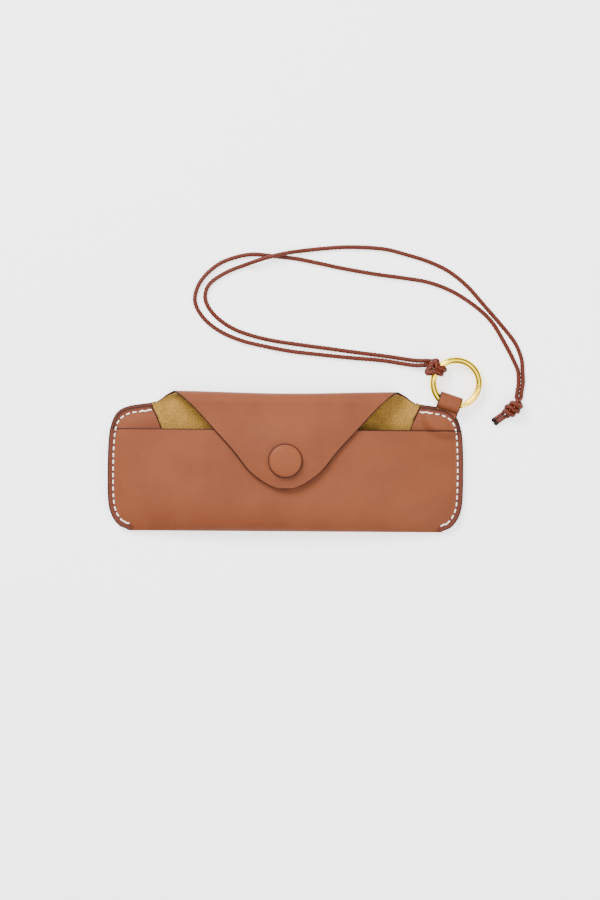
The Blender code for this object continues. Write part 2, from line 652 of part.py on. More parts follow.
def build_knot(looks):
    """The end knot as one lumpy solid, and the two short tails that leave it."""
    long_axis = (KNOT - TAIL_TIP) / np.linalg.norm(KNOT - TAIL_TIP)
    cross_axis = np.array([-long_axis[1], long_axis[0]])
    segments = 16
    profile = []
    for k in range(9):
        turn = math.pi * k / 8
        profile.append((math.sin(turn), -math.cos(turn)))
    verts, rows = [], []
    for radius, height in profile:
        row = []
        for j in range(segments):
            turn = 2 * math.pi * j / segments
            if radius < 1e-6 and j:
                row.append(row[0])
                continue
            lump = 1 + 0.07 * math.cos(3 * turn + 2.4 * height)
            a = KNOT_SIZE[0] * radius * math.cos(turn) * lump
            b = KNOT_SIZE[1] * radius * math.sin(turn) * lump
            place = KNOT + long_axis * a + cross_axis * b
            row.append(len(verts))
            verts.append((*place, KNOT_SIZE[2] * (1 + height) + 0.05))
        rows.append(row)
    faces = []
    for one, two in zip(rows, rows[1:]):
        for j in range(segments):
            corners = (one[j], one[(j + 1) % segments], two[(j + 1) % segments], two[j])
            face = tuple(dict.fromkeys(corners))
            if len(face) > 2:
                faces.append(face)
    mesh_object("end_knot", verts, faces, looks["cord"])
    for name, side in (("cord_tail_a", 1), ("cord_tail_b", -1)):
        start = KNOT - long_axis * (KNOT_SIZE[0] + 0.55) + cross_axis * side * 1.15
        end = TAIL_TIP + cross_axis * side * 1.15
        middle = (start + end) / 2 + cross_axis * side * 0.35
        points = [(*start, 1.6), (*middle, 1.3), (*end, FLOOR_Z)]
        cord(name, spaced(curve_through(points, 4), 2.2), looks["cord"])


def main():
    for obj in list(bpy.data.objects):
        bpy.data.objects.remove(obj)
    looks = {
        "leather": material("tan_leather", (0.41, 0.16, 0.08), 0.5),
        "suede": material("khaki_suede", (0.48, 0.30, 0.085), 0.95),
        "thread": material("cream_thread", (0.86, 0.80, 0.70), 0.7),
        "brass": material("gold_metal", (0.86, 0.62, 0.16), 0.22, 1.0),
        "steel": material("spring_steel", (0.55, 0.55, 0.56), 0.3, 1.0),
        "cord": material("red_brown_cord", (0.33, 0.07, 0.025), 0.55),
    }
    swing_pivot = (*(TAB_ROOT + TAB_OUT * 3.4), RING_Z)
    build_body(looks)
    for side in (-1, 1):
        build_wing(side, looks)
        build_seam(side, looks)
    build_tab(looks)
    build_flap(looks)
    build_snap(looks)
    build_ring(looks, swing_pivot)
    build_gate_spring(looks)
    build_cord(looks)


main()
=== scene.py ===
"""Looks of the soft pouch glasses case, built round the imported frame.

The case lies on its back: +X along its length, +Y towards the flap's fold, +Z up. Shapes are worked out in
millimetres, in the frame of the CAD model, and scaled by MM when a mesh is made.
"""

import math

import bmesh
import bpy
import numpy as np
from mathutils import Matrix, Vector, noise


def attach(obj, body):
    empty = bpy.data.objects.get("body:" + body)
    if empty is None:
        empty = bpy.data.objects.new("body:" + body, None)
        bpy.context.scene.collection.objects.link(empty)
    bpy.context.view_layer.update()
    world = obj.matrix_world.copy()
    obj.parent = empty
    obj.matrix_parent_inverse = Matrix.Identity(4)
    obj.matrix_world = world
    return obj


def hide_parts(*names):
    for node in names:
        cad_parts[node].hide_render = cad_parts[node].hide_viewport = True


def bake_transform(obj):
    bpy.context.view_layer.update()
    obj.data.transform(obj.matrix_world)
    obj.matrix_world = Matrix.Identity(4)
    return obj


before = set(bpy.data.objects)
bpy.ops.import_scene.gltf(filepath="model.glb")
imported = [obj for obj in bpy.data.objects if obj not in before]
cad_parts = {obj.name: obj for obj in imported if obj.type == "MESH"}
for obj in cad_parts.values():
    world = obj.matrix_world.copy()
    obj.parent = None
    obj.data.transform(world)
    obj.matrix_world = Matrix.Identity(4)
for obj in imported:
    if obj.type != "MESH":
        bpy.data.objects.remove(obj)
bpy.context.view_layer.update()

MM = 0.001

# Sheets, as in the CAD model
BOTTOM_Y = -33.3
LEATHER = 0.9
LINING = 0.5
LINING_INSET = 0.9
LAYER_GAP = 0.2
BACK_Z = LEATHER / 2 + 0.02
LINING_STEP = (LEATHER + LINING) / 2 + 0.06
EDGE = [(75.0, -33.3), (79.6, -31.2), (83.2, -26.0), (84.8, -18.0), (85.0, 0.0), (84.3, 13.0), (82.3, 20.3),
        (79.2, 24.0), (74.5, 25.9), (69.0, 26.8), (64.2, 27.5), (60.6, 29.0), (57.2, 31.4), (53.5, 33.2)]
MOUTH_Y = 15.0
SEAM_ALLOWANCE = 4.0
GUSSET = 0.7
GUSSET_Z = LEATHER + LAYER_GAP + GUSSET / 2 + 0.02
SEAM_Z = GUSSET_Z + GUSSET / 2 + LAYER_GAP + 0.1 + LEATHER / 2
DOME = 8.6
BOTTOM_ROUND = 15.0
BOTTOM_TURN = 3.0
DIMPLE = 1.0
DIMPLE_RADIUS = 14.0
FOLD_RADIUS = 5.2
FOLD_Y = 33.15 - LEATHER / 2 - FOLD_RADIUS
FOLD_TOP_Z = BACK_Z + 2 * FOLD_RADIUS
FOLD_HALF_WIDTH = 62.0
FOLD_SAG = 1.0
BACK_TOP_Y = 27.35
FLAP_EDGE = [(53.5, 33.2), (46.2, 27.4), (34.8, 15.3), (25.0, 4.5), (17.8, -4.5), (10.8, -10.0), (5.0, -12.7),
             (1.2, -13.5)]
FLAP_RISE = 1.9
FLAP_BULGE = 3.3
FLAP_BULGE_RADIUS = 15.0
FLAP_SETTLE = 17.0
WING_TRIM = 1.3
WING_FLAT = 4.3
WING_RISE = 3.3
WING_EDGE = [(74.0, -29.0), (63.0, -15.0), (57.5, 0.0), (59.4, 15.0), (64.4, 26.5)]

# Stitching, edge paint, and painted shade on the seam margins and round the snap cap's rim
# Edge paint on cut edges; the same width and colour also paint the shade round the snap cap's rim
EDGE_PAINT_AND_RIM_SHADE_WIDTH = 0.5
# Painted shade on the seam margin outside the stitches, fading out between these distances from the outline,
# in the margin colour
MARGIN_SHADE_FADE = (2.4, 3.3)
EDGE_PAINT_AND_RIM_SHADE_COLOUR = (0.014, 0.003, 0.0015)
LEATHER_COLOUR = (0.172, 0.048, 0.0175)
LEATHER_DARK = (0.145, 0.038, 0.014)
# Colour of the painted shade on the seam margins
MARGIN_SHADE_COLOUR = (0.075, 0.016, 0.010)
SEAM_INSET = 2.75
SHOULDER_INSET = 0.8
SEAM_TOP_Y = 27.4
THREAD = 0.7
STITCH_PITCH = 3.2
STITCH_LENGTH = 2.0
BACK_STITCH_Z = 0.16

# Tab, ring and gate
TAB_ROOT = np.array([77.0, 24.7])
TAB_OUT = np.array([0.315, 0.949])
TAB_ACROSS = np.array([0.949, -0.315])
TAB_WIDTH = 11.0
TAB_TUCK = 4.5
TAB_LIFT = 2.4
TAB_CLEAR = 7.9
RING_CENTRE = np.array([81.2, 37.6])
RING_Z = 3.9
RING_RADIUS = 10.93
WIRE = 3.15
GATE_FREE_DEG = -6.0
GATE_HINGE_DEG = -70.0
GATE_FACE_DEG = 48.0
PIN = 0.9
PIN_HOLE = PIN / 2 + 0.05

# Snap
CAP_RADIUS = 8.2
SPRING_RADIUS = 3.78

# Cord
CORD = 2.0
HITCH_DEG = 142.0
PULL_DEG = 165.0
FLOOR_Z = CORD / 2 + 0.05
CROSSING_LIFT = CORD + 0.25
STRAND_A = [(46, 48.2), (31, 49.4), (15.5, 50.9), (2, 52.4), (-11, 54.8), (-21.7, 57.4), (-31.7, 61.7),
            (-39.3, 67.6), (-43.6, 74.8), (-43.1, 81.5), (-39.3, 88), (-32.6, 93.8), (-25, 97), (-16.5, 98.6),
            (-6.4, 97.8), (4.5, 96.6), (15.5, 94.5), (26.5, 92.2), (42.5, 89.5), (57, 87.6), (68, 85.7),
            (79, 81.6), (89.8, 74.8), (98.2, 67), (104.8, 56.2), (109.0, 48.2), (110.9, 43.5), (111.2, 38),
            (110.6, 33.8), (110.3, 31)]
STRAND_B = [(48, 50.3), (33, 52.1), (20, 53.8), (6.7, 55.5), (-6.4, 57.4), (-17.4, 60), (-26.2, 63.4),
            (-33.8, 68.8), (-38.2, 74.8), (-38.8, 80.2), (-36, 85.2), (-28.3, 90.2), (-17.4, 94.4),
            (-6.4, 97.8), (4.5, 100), (17.4, 101.6), (30.7, 102.4), (46, 101.6), (57, 99), (68, 95.6),
            (77.6, 91), (86.4, 84), (94, 75.5), (102.8, 65.5), (109.3, 57.2), (112.4, 49.8), (113.1, 43.5),
            (113.35, 38.2), (112.75, 34), (112.4, 31)]
CROSSING = np.array([-6.4, 97.8])
KNOT = np.array([108.2, 25.5])
TAIL_TIP = np.array([99.8, 19.3])
KNOT_Z = 3.4
KNOT_WRAP = 2.45
KNOT_TURNS = 1.5
KNOT_LENGTH = 8.4
BRAID_RADIUS = 1.07
BRAID_STEP = 0.3
BRAID_SIDES = 20
BRAID_PITCH = 7.5

# Camera
VIEW_CENTRE = (6.9, 5.2)
VIEW_HEIGHT = 428.6
CAMERA_DISTANCE = 1600.0
ROLL_DEG = 0.4
SENSOR = 36.0
SUBJECT_Z = 8.0

# Floor, in metres, and the lamps' names, places, sizes and watts
FLOOR_SIZE = 6.0
LAMPS = (("key", (-500, 700, 800), 620, 30.0), ("fill", (750, -450, 850), 800, 14.0),
         ("top", (0, 0, 1900), 1500, 26.0))


# ---------------------------------------------------------------- numbers and curves

def smooth(t):
    """0 to 1 with level ends."""
    t = np.clip(t, 0.0, 1.0)
    return t * t * (3 - 2 * t)


def curve_through(points, per_span=12):
    """A Catmull-Rom curve through the points."""
    p = np.array(points, float)
    p = np.vstack([2 * p[0] - p[1], p, 2 * p[-1] - p[-2]])
    t = np.linspace(0, 1, per_span, endpoint=False)[:, None]
    spans = []
    for a, b, c, d in zip(p, p[1:], p[2:], p[3:]):
        second, third = 2 * a - 5 * b + 4 * c - d, 3 * b - a - 3 * c + d
        spans.append(0.5 * (2 * b + (c - a) * t + second * t**2 + third * t**3))
    return np.vstack(spans + [p[-2:-1]])


def lengths_along(path):
    return np.concatenate([[0], np.cumsum(np.linalg.norm(np.diff(path, axis=0), axis=1))])


def spaced(path, step):
    """The path's points at even distances of about step."""
    path = np.array(path, float)
    along = lengths_along(path)
    at = np.linspace(0, along[-1], max(2, round(along[-1] / step) + 1))
    return np.stack([np.interp(at, along, column) for column in path.T], axis=1)


def unit(vector):
    return vector / np.linalg.norm(vector)


def ripple(x, y, size, seed):
    """Gentle unevenness of soft leather, between about -1 and 1, at a size in millimetres."""
    x, y = np.broadcast_arrays(x, y)
    values = [noise.noise(Vector((a / size, b / size, seed))) for a, b in zip(x.ravel(), y.ravel())]
    return np.array(values).reshape(x.shape)


def row(x, y, z):
    """Points from their coordinates; a single y or z holds for the whole row."""
    return np.stack(np.broadcast_arrays(x, y, z), axis=1)


EDGE_CURVE = curve_through(EDGE, 24)
FLAP_CURVE = curve_through(FLAP_EDGE, 24)
WING_CURVE = curve_through(WING_EDGE, 24)


def half_width(y):
    return np.interp(y, EDGE_CURVE[:, 1], EDGE_CURVE[:, 0])


def edge_y(x):
    """Y of the shoulder's edge above |x|."""
    shoulder = EDGE_CURVE[EDGE_CURVE[:, 1] > MOUTH_Y][::-1]
    return np.interp(np.abs(x), shoulder[:, 0], shoulder[:, 1])


def offset_inwards(curve, distance):
    """The right-hand outline moved towards the middle of the pouch."""
    along = np.gradient(curve, axis=0)
    along /= np.linalg.norm(along, axis=1, keepdims=True)
    return curve + distance * np.stack([-along[:, 1], along[:, 0]], axis=1)


def curve_distance(curve, x, y):
    """Distance of each point, taken on the right-hand side, to a curve."""
    points = np.stack([np.abs(x), y], axis=-1)[..., None, :]
    start, span = curve[:-1], np.diff(curve, axis=0)
    share = np.clip(np.sum((points - start) * span, axis=-1) / np.sum(span**2, axis=-1), 0, 1)
    return np.min(np.linalg.norm(points - start - share[..., None] * span, axis=-1), axis=-1)


def shoulder_end(curve, share):
    """A point on the outline between the mouth's height and the fold's corner."""
    part = curve[(curve[:, 1] >= MOUTH_Y) & (curve[:, 0] >= FOLD_HALF_WIDTH + 0.3)]
    along = lengths_along(part)
    at = share * along[-1]
    return np.interp(at, along, part[:, 0]), np.interp(at, along, part[:, 1])


def wing_inner(y):
    """|x| of a wing's free inner edge."""
    return np.interp(y, WING_CURVE[:, 1], WING_CURVE[:, 0])


def flap_half_width(y):
    return np.interp(y, FLAP_CURVE[::-1, 1], FLAP_CURVE[::-1, 0])


def tab_rise(x, y):
    """How far the layers above the tab's tucked-in root are lifted."""
    root = TAB_ROOT - TAB_OUT * TAB_TUCK / 2
    distance = np.hypot(x - root[0], y - root[1])
    return TAB_LIFT * (1 - smooth((distance - TAB_CLEAR) / 5.0))


def dome(x, y):
    """Z of the front over the glasses, before the bottom's rounding."""
    inner = half_width(y) - SEAM_ALLOWANCE
    across = (1 - np.minimum(1, np.abs(x) / inner) ** 2.4) ** 0.9
    top = SEAM_Z + DOME * across * (1 - 0.06 * smooth(y / MOUTH_Y))
    return top - DIMPLE * np.exp(-(x**2 + y**2) / DIMPLE_RADIUS**2)


def front_height(x, y):
    """Z of the middle of the front panel's leather."""
    top = dome(x, y)
    side = SEAM_Z + 0.25 * (top - SEAM_Z)
    reach = 1 - np.clip((y - BOTTOM_Y) / BOTTOM_ROUND, 0, 1)
    return side + (top - side) * np.sqrt(1 - reach**2) + tab_rise(x, y)


def flap_height(x, y):
    """Z of the middle of the flap's leather: level with the fold at first, then lying on the front panel."""
    low = np.minimum(y, FOLD_Y)
    front = dome(x, low) + DIMPLE * np.exp(-(x**2 + low**2) / DIMPLE_RADIUS**2)
    front = front - DIMPLE * np.exp(-(x**2 + y**2) / DIMPLE_RADIUS**2)
    bulge = FLAP_BULGE * np.exp(-(x**2 + y**2) / FLAP_BULGE_RADIUS**2)
    settled = smooth((FOLD_Y - y) / FLAP_SETTLE)
    return FOLD_TOP_Z + (front + FLAP_RISE + bulge - FOLD_TOP_Z) * settled


def gusset_height(x, y):
    """Z of the middle of a wing's leather: flat in the seam, rising inwards."""
    inset = np.minimum(half_width(y) - np.abs(x), edge_y(x) - y)
    past = inset - WING_FLAT
    rise = 0.25 * np.clip(past, 0, WING_RISE) + 0.05 * np.clip(past - WING_RISE, 0, None)
    return GUSSET_Z + rise + tab_rise(x, y)


# ---------------------------------------------------------------- meshes

def add_object(name, data):
    obj = bpy.data.objects.new(name, data)
    bpy.context.scene.collection.objects.link(obj)
    return obj


def mesh_object(name, verts, faces, looks, marks=None, smooth_angle=50):
    """A mesh object from millimetre points; marks gives each face's index in the list of materials."""
    mesh = bpy.data.meshes.new(name)
    mesh.from_pydata((np.array(verts, float) * MM).tolist(), [], faces)
    for look in looks if isinstance(looks, list) else [looks]:
        mesh.materials.append(look)
    if marks is not None:
        mesh.polygons.foreach_set("material_index", np.array(marks, np.int32))
    shell = bmesh.new()
    shell.from_mesh(mesh)
    bmesh.ops.recalc_face_normals(shell, faces=shell.faces)
    if shell.calc_volume(signed=True) < 0:
        bmesh.ops.reverse_faces(shell, faces=shell.faces)
    shell.to_mesh(mesh)
    shell.free()
    mesh.shade_smooth()
    mesh.set_sharp_from_angle(angle=math.radians(smooth_angle))
    return add_object(name, mesh)


def bind(piece, body, node):
    """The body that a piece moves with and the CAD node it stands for."""
    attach(piece, body)
    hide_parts(node)


def add_attribute(obj, name, values):
    attribute = obj.data.attributes.new(name, "FLOAT", "POINT")
    attribute.data.foreach_set("value", np.asarray(values, np.float32))


def grid_normals(grid):
    normal = np.cross(np.gradient(grid, axis=1), np.gradient(grid, axis=0))
    return normal / np.maximum(np.linalg.norm(normal, axis=2, keepdims=True), 1e-9)


def round_edge(distance, half):
    """Half thickness at a distance inside a rounded cut edge."""
    near = 1 - np.clip(distance / half, 0, 1)
    return np.maximum(half * np.sqrt(1 - near**2), 0.12 * half)


def sheet(name, middle, thickness, looks, edge_distance, offset=0.0, edge_slot=True):
    """A closed sheet about a grid of points, thinned to a round cut edge where edge_distance is small.

    With edge_slot the faces of the rim take the second material of looks, the edge paint.
    """
    rows, columns = middle.shape[:2]
    normal = grid_normals(middle)
    half = round_edge(edge_distance, thickness / 2)[..., None]
    upper = (middle + normal * (offset + half)).reshape(-1, 3)
    lower = (middle + normal * (offset - half)).reshape(-1, 3)
    count = rows * columns
    faces, marks = [], []
    for i in range(rows - 1):
        for j in range(columns - 1):
            a = i * columns + j
            quad = (a, a + 1, a + columns + 1, a + columns)
            faces += [quad, tuple(count + k for k in reversed(quad))]
            marks += [0, 0]
    rim = list(range(columns))
    rim += [i * columns + columns - 1 for i in range(1, rows)]
    rim += [(rows - 1) * columns + j for j in range(columns - 2, -1, -1)]
    rim += [i * columns for i in range(rows - 2, 0, -1)]
    for a, b in zip(rim, rim[1:] + rim[:1]):
        faces.append((a, count + a, count + b, b))
        marks.append(int(edge_slot))
    obj = mesh_object(name, np.vstack([upper, lower]), faces, looks, marks, smooth_angle=70)
    seam = curve_distance(EDGE_CURVE, middle[..., 0], middle[..., 1])
    add_attribute(obj, "from_outline", np.tile(seam.ravel(), 2))
    add_attribute(obj, "from_edge", np.tile(edge_distance.ravel(), 2))
    return obj


def frames_along(path):
    """Two unit vectors across a path at each point, without twist."""
    along = np.gradient(path, axis=0)
    along /= np.linalg.norm(along, axis=1, keepdims=True)
    side = np.cross(along[0], [0.0, 0.0, 1.0])
    if np.linalg.norm(side) < 0.1:
        side = np.cross(along[0], [1.0, 0.0, 0.0])
    sides = []
    for direction in along:
        side = unit(side - direction * np.dot(side, direction))
        sides.append(side)
    sides = np.array(sides)
    return sides, np.cross(along, sides)


def tube(name, path, radii, sides, look, squash=1.0):
    """A closed tube along a path; radii has one row per path point, of one or sides values."""
    path = np.array(path, float)
    across, up = frames_along(path)
    turn = np.linspace(0, 2 * math.pi, sides, endpoint=False)
    radii = np.broadcast_to(np.asarray(radii, float), (len(path), sides))
    rings = (path[:, None] + across[:, None] * (np.cos(turn) * radii)[..., None]
             + up[:, None] * (np.sin(turn) * radii * squash)[..., None])
    verts = rings.reshape(-1, 3)
    faces = [tuple(range(sides)), tuple(range(len(verts) - sides, len(verts)))]
    for i in range(len(path) - 1):
        for k in range(sides):
            a, b = i * sides + k, i * sides + (k + 1) % sides
            faces.append((a, b, b + sides, a + sides))
    return mesh_object(name, verts, faces, look, smooth_angle=80)


def rounded_ends(path, radius):
    """Radii that close a tube in a dome at both ends."""
    along = lengths_along(np.array(path, float))
    near = np.minimum(along, along[-1] - along)
    return (radius * np.sqrt(1 - (1 - np.clip(near / radius, 0, 1)) ** 2)).clip(0.15 * radius)[:, None]


def turned(name, profile, look, segments=72, centre=(0, 0)):
    """A solid turned about a vertical line through centre from a closed profile of (radius, z) points."""
    verts, rings = [], []
    for radius, z in profile:
        if radius < 1e-6:
            rings.append([len(verts)] * segments)
            verts.append((centre[0], centre[1], z))
            continue
        rings.append(list(range(len(verts), len(verts) + segments)))
        for k in range(segments):
            turn = 2 * math.pi * k / segments
            verts.append((centre[0] + radius * math.cos(turn), centre[1] + radius * math.sin(turn), z))
    faces = []
    for one, two in zip(rings, rings[1:] + rings[:1]):
        for k in range(segments):
            face = tuple(dict.fromkeys((one[k], one[(k + 1) % segments], two[(k + 1) % segments], two[k])))
            if len(face) > 2:
                faces.append(face)
    return mesh_object(name, verts, faces, look, smooth_angle=35)


def join(name, objects):
    """One object from several, keeping their materials."""
    with bpy.context.temp_override(active_object=objects[0], selected_editable_objects=objects):
        bpy.ops.object.join()
    objects[0].name = name
    return objects[0]


def apply_modifiers(obj):
    graph = bpy.context.evaluated_depsgraph_get()
    graph.update()
    mesh = bpy.data.meshes.new_from_object(obj.evaluated_get(graph))
    obj.modifiers.clear()
    obj.data = mesh


def cut(target, tool, operation="DIFFERENCE"):
    modifier = target.modifiers.new(operation.lower(), "BOOLEAN")
    modifier.operation = operation
    modifier.object = tool
    modifier.solver = "EXACT"
    apply_modifiers(target)
    bpy.data.objects.remove(tool)


# ---------------------------------------------------------------- materials

class Look:
    """A Principled material and the procedural textures, in object space, that feed it."""

    def __init__(self, name, roughness, metallic=0.0, specular=None, sheen=0.0):
        self.material = bpy.data.materials.new(name)
        self.material.use_nodes = True
        self.nodes, self.links = self.material.node_tree.nodes, self.material.node_tree.links
        self.shader = self.nodes["Principled BSDF"]
        self.feed("Roughness", roughness)
        self.feed("Metallic", metallic)
        self.feed("Sheen Weight", sheen)
        if specular is not None:
            self.feed("Specular IOR Level", specular)

    def feed(self, socket, value):
        """Give one of the shader's sockets a number, a linear colour or another node's output."""
        self.put(self.shader.inputs[socket], value)

    def put(self, socket, value):
        if isinstance(value, (int, float)):
            socket.default_value = value
        elif isinstance(value, tuple):
            socket.default_value = (*value, 1.0)
        else:
            self.links.new(value, socket)

    def texture(self, kind, output, scale, detail=None, stretch=None):
        """A texture's output; scale is in features per metre."""
        source = self.nodes.new("ShaderNodeTexCoord").outputs["Object"]
        made = self.nodes.new(kind)
        made.inputs["Scale"].default_value = scale
        if detail is not None:
            made.inputs["Detail"].default_value = detail
        if stretch is not None:
            mapping = self.nodes.new("ShaderNodeMapping")
            mapping.inputs["Scale"].default_value = stretch
            self.links.new(source, mapping.inputs["Vector"])
            source = mapping.outputs["Vector"]
        self.links.new(source, made.inputs["Vector"])
        return made.outputs[output]

    def noise(self, scale, detail, stretch=None):
        return self.texture("ShaderNodeTexNoise", "Fac", scale, detail, stretch)

    def attribute(self, name):
        made = self.nodes.new("ShaderNodeAttribute")
        made.attribute_name = name
        return made.outputs["Fac"]

    def spread(self, source, low, high, start=0.0, end=1.0):
        """The source's values from start to end, mapped to low to high."""
        made = self.nodes.new("ShaderNodeMapRange")
        for socket, value in (("From Min", start), ("From Max", end), ("To Min", low), ("To Max", high)):
            made.inputs[socket].default_value = value
        self.links.new(source, made.inputs["Value"])
        return made.outputs["Result"]

    def near(self, attribute, start, end, most):
        """A factor: most where the attribute, a distance in millimetres, is under start, and 0 beyond end."""
        return self.spread(self.attribute(attribute), most, 0.0, start, end)

    def ramp(self, source, *stops):
        """A colour ramp fed by source; stops are (position, linear colour)."""
        made = self.nodes.new("ShaderNodeValToRGB")
        elements = made.color_ramp.elements
        while len(elements) < len(stops):
            elements.new(0.5)
        for element, (position, colour) in zip(elements, stops):
            element.position = position
            element.color = (*colour, 1.0)
        self.links.new(source, made.inputs["Fac"])
        return made.outputs["Color"]

    def mix(self, factor, one, two):
        made = self.nodes.new("ShaderNodeMix")
        made.data_type = "RGBA"
        for socket, value in ((0, factor), (6, one), (7, two)):
            self.put(made.inputs[socket], value)
        return made.outputs[2]

    def bump(self, *layers):
        """Stack bumps: layers are (height, strength, distance in metres)."""
        previous = None
        for height, strength, distance in layers:
            made = self.nodes.new("ShaderNodeBump")
            made.inputs["Strength"].default_value = strength
            made.inputs["Distance"].default_value = distance
            self.links.new(height, made.inputs["Height"])
            if previous is not None:
                self.links.new(previous, made.inputs["Normal"])
            previous = made.outputs["Normal"]
        self.feed("Normal", previous)


def leather(name, colour, darker, margin=None):
    """Smooth coated leather: soft mottling, pebbled grain and pores, a dark margin near cut edges that is
    painted shade, dark edge paint on cut edges, and painted shade round the snap cap's rim.
    """
    look = Look(name, 0.6, specular=0.16)
    cloud = look.noise(45, 4)
    grain = look.noise(2600, 3)
    pebble_dark = tuple(c * 0.55 for c in darker)
    pebble_light = tuple(c * 1.25 for c in colour)
    pebbles = look.ramp(grain, (0.3, pebble_dark), (0.7, pebble_light))
    base = look.mix(0.10, look.ramp(cloud, (0.36, darker), (0.64, colour)), pebbles)
    if margin is not None:
        # Painted shade: the seam margin outside the stitches is darkened towards the margin colour, fading out
        # with distance from the outline
        base = look.mix(look.near("from_outline", *MARGIN_SHADE_FADE, 0.75), base, margin)
    # Dark edge paint on cut edges; on the snap cap this mask paints shade round the cap's rim
    paint = look.near("from_edge", EDGE_PAINT_AND_RIM_SHADE_WIDTH - 0.15, EDGE_PAINT_AND_RIM_SHADE_WIDTH + 0.15, 0.95)
    look.feed("Base Color", look.mix(paint, base, EDGE_PAINT_AND_RIM_SHADE_COLOUR))
    look.feed("Roughness", look.spread(cloud, 0.54, 0.7))
    pores = look.texture("ShaderNodeTexVoronoi", "Distance", 1500)
    look.bump((grain, 0.35, 0.00006), (pores, 0.25, 0.00006), (look.noise(260, 5), 0.25, 0.00012))
    return look.material


def flecked(name, roughness, scale, detail, dark, light, bump=None, light_at=0.7, **shader):
    """A plain material of two mingled shades; bump is its (strength, distance in metres)."""
    look = Look(name, roughness, **shader)
    fleck = look.noise(scale, detail)
    look.feed("Base Color", look.ramp(fleck, (0.3, dark), (light_at, light)))
    if bump is not None:
        look.bump((fleck, *bump))
    return look.material


def suede():
    """Brushed khaki microfibre with a short uneven nap."""
    look = Look("khaki_suede", 0.95, specular=0.15, sheen=0.35)
    look.feed("Sheen Roughness", 0.5)
    look.feed("Sheen Tint", (0.9, 0.75, 0.4))
    patch = look.noise(160, 4)
    nap = look.noise(1400, 4)
    colour = look.ramp(patch, (0.34, (0.21, 0.108, 0.016)), (0.66, (0.31, 0.168, 0.032)))
    fleck = look.ramp(nap, (0.34, (0.09, 0.044, 0.006)), (0.66, (0.42, 0.235, 0.052)))
    look.feed("Base Color", look.mix(0.45, colour, fleck))
    look.bump((nap, 0.7, 0.00025), (patch, 0.4, 0.0006))
    return look.material


def metal(name, dark, light, roughness):
    """Polished or satin metal with faint tarnish and fine scratches."""
    look = Look(name, roughness, metallic=1.0)
    look.feed("Base Color", look.ramp(look.noise(350, 4), (0.3, dark), (0.65, light)))
    scratch = look.noise(900, 3, (1.0, 6.0, 1.0))
    look.feed("Roughness", look.spread(scratch, roughness * 0.7, roughness * 1.4))
    look.bump((scratch, 0.08, 0.00002))
    return look.material


def waxed_cord():
    """Waxed red-brown braid with painted light: painted highlights on the crowns of its plies and near-black
    painted shade between them.
    """
    look = Look("waxed_cord", 0.5, specular=0.2)
    fibre = look.noise(2600, 3)
    # Painted light: from the crown attribute, near-black painted shade between the plies and painted
    # highlights on their crowns
    base = look.ramp(look.attribute("ply_crown_shading"), (0.0, (0.004, 0.0006, 0.0003)), (0.5, (0.03, 0.0038, 0.001)),
                     (0.82, (0.09, 0.0115, 0.0028)), (1.0, (0.20, 0.031, 0.008)))
    fleck = look.ramp(fibre, (0.35, (0.025, 0.003, 0.001)), (0.65, (0.15, 0.021, 0.005)))
    look.feed("Base Color", look.mix(0.25, base, fleck))
    look.bump((fibre, 0.35, 0.00008))
    return look.material


LOOKS = {
    "leather": leather("tan_leather", LEATHER_COLOUR, LEATHER_DARK),
    "margin_shaded": leather("tan_leather_margin_shade", LEATHER_COLOUR, LEATHER_DARK, margin=MARGIN_SHADE_COLOUR),
    "cap": leather("cap_leather", (0.188, 0.053, 0.019), (0.163, 0.045, 0.016)),
    "edge": flecked("edge_paint", 0.5, 700, 3, (0.010, 0.002, 0.001), (0.024, 0.004, 0.002), (0.3, 0.00008),
                    specular=0.2),
    "suede": suede(),
    "thread": flecked("cream_thread", 0.55, 3500, 2, (0.72, 0.62, 0.50), (0.95, 0.90, 0.82),
                      (0.4, 0.00006), 0.6, sheen=0.2),
    # Painted shade: near-black for the shade in the stitch holes and in the ring gate's gap
    "recess_shade": flecked("painted_recess_shade", 0.9, 4000, 2, (0.02, 0.006, 0.004), (0.045, 0.012, 0.008)),
    "gold": metal("gold_metal", (0.72, 0.47, 0.018), (0.92, 0.66, 0.03), 0.2),
    "gate": metal("gate_metal", (0.72, 0.41, 0.015), (0.90, 0.56, 0.025), 0.24),
    "brass": metal("snap_brass", (0.62, 0.42, 0.14), (0.82, 0.60, 0.24), 0.32),
    "steel": metal("spring_steel", (0.42, 0.42, 0.43), (0.62, 0.62, 0.63), 0.3),
    "cord": waxed_cord(),
    "burnt": flecked("burnt_end", 0.6, 1500, 3, (0.003, 0.001, 0.001), (0.016, 0.004, 0.003), (0.6, 0.0002),
                     specular=0.15),
}


# ---------------------------------------------------------------- leather and lining

EDGE_STEPS = np.array([0.0, 0.04, 0.12, 0.25, 0.5, 0.9, 1.4, 2.0, 2.6, 3.2, 3.9, 4.6, 5.6, 7.0, 9.0])


def columns_for(half):
    """x across a row of that half width: fine near both edges, then about every 2.5 mm."""
    inner = half - EDGE_STEPS[-1]
    middle = np.linspace(0, inner, 34)
    right = np.concatenate([middle, (half - EDGE_STEPS[::-1])[1:]])
    return np.concatenate([-right[:0:-1], right])


def small_columns(half, count=81):
    """Evenly spread x, with three extra lines close to each cut edge."""
    spread = np.linspace(0, 1, count // 2)
    right = np.concatenate([spread[:-1] * (half - 0.9), half - np.array([0.7, 0.45, 0.22, 0.08, 0.0])])
    return np.concatenate([-right[:0:-1], right])


def front_surface(x, y):
    bend = 0.16 * ripple(x, y, 30.0, 3.7) + 0.05 * ripple(x, y, 9.0, 8.1)
    inset = np.minimum(half_width(y) - np.abs(x), 12.0)
    return front_height(x, y) + bend * smooth((inset - SEAM_ALLOWANCE) / 8)


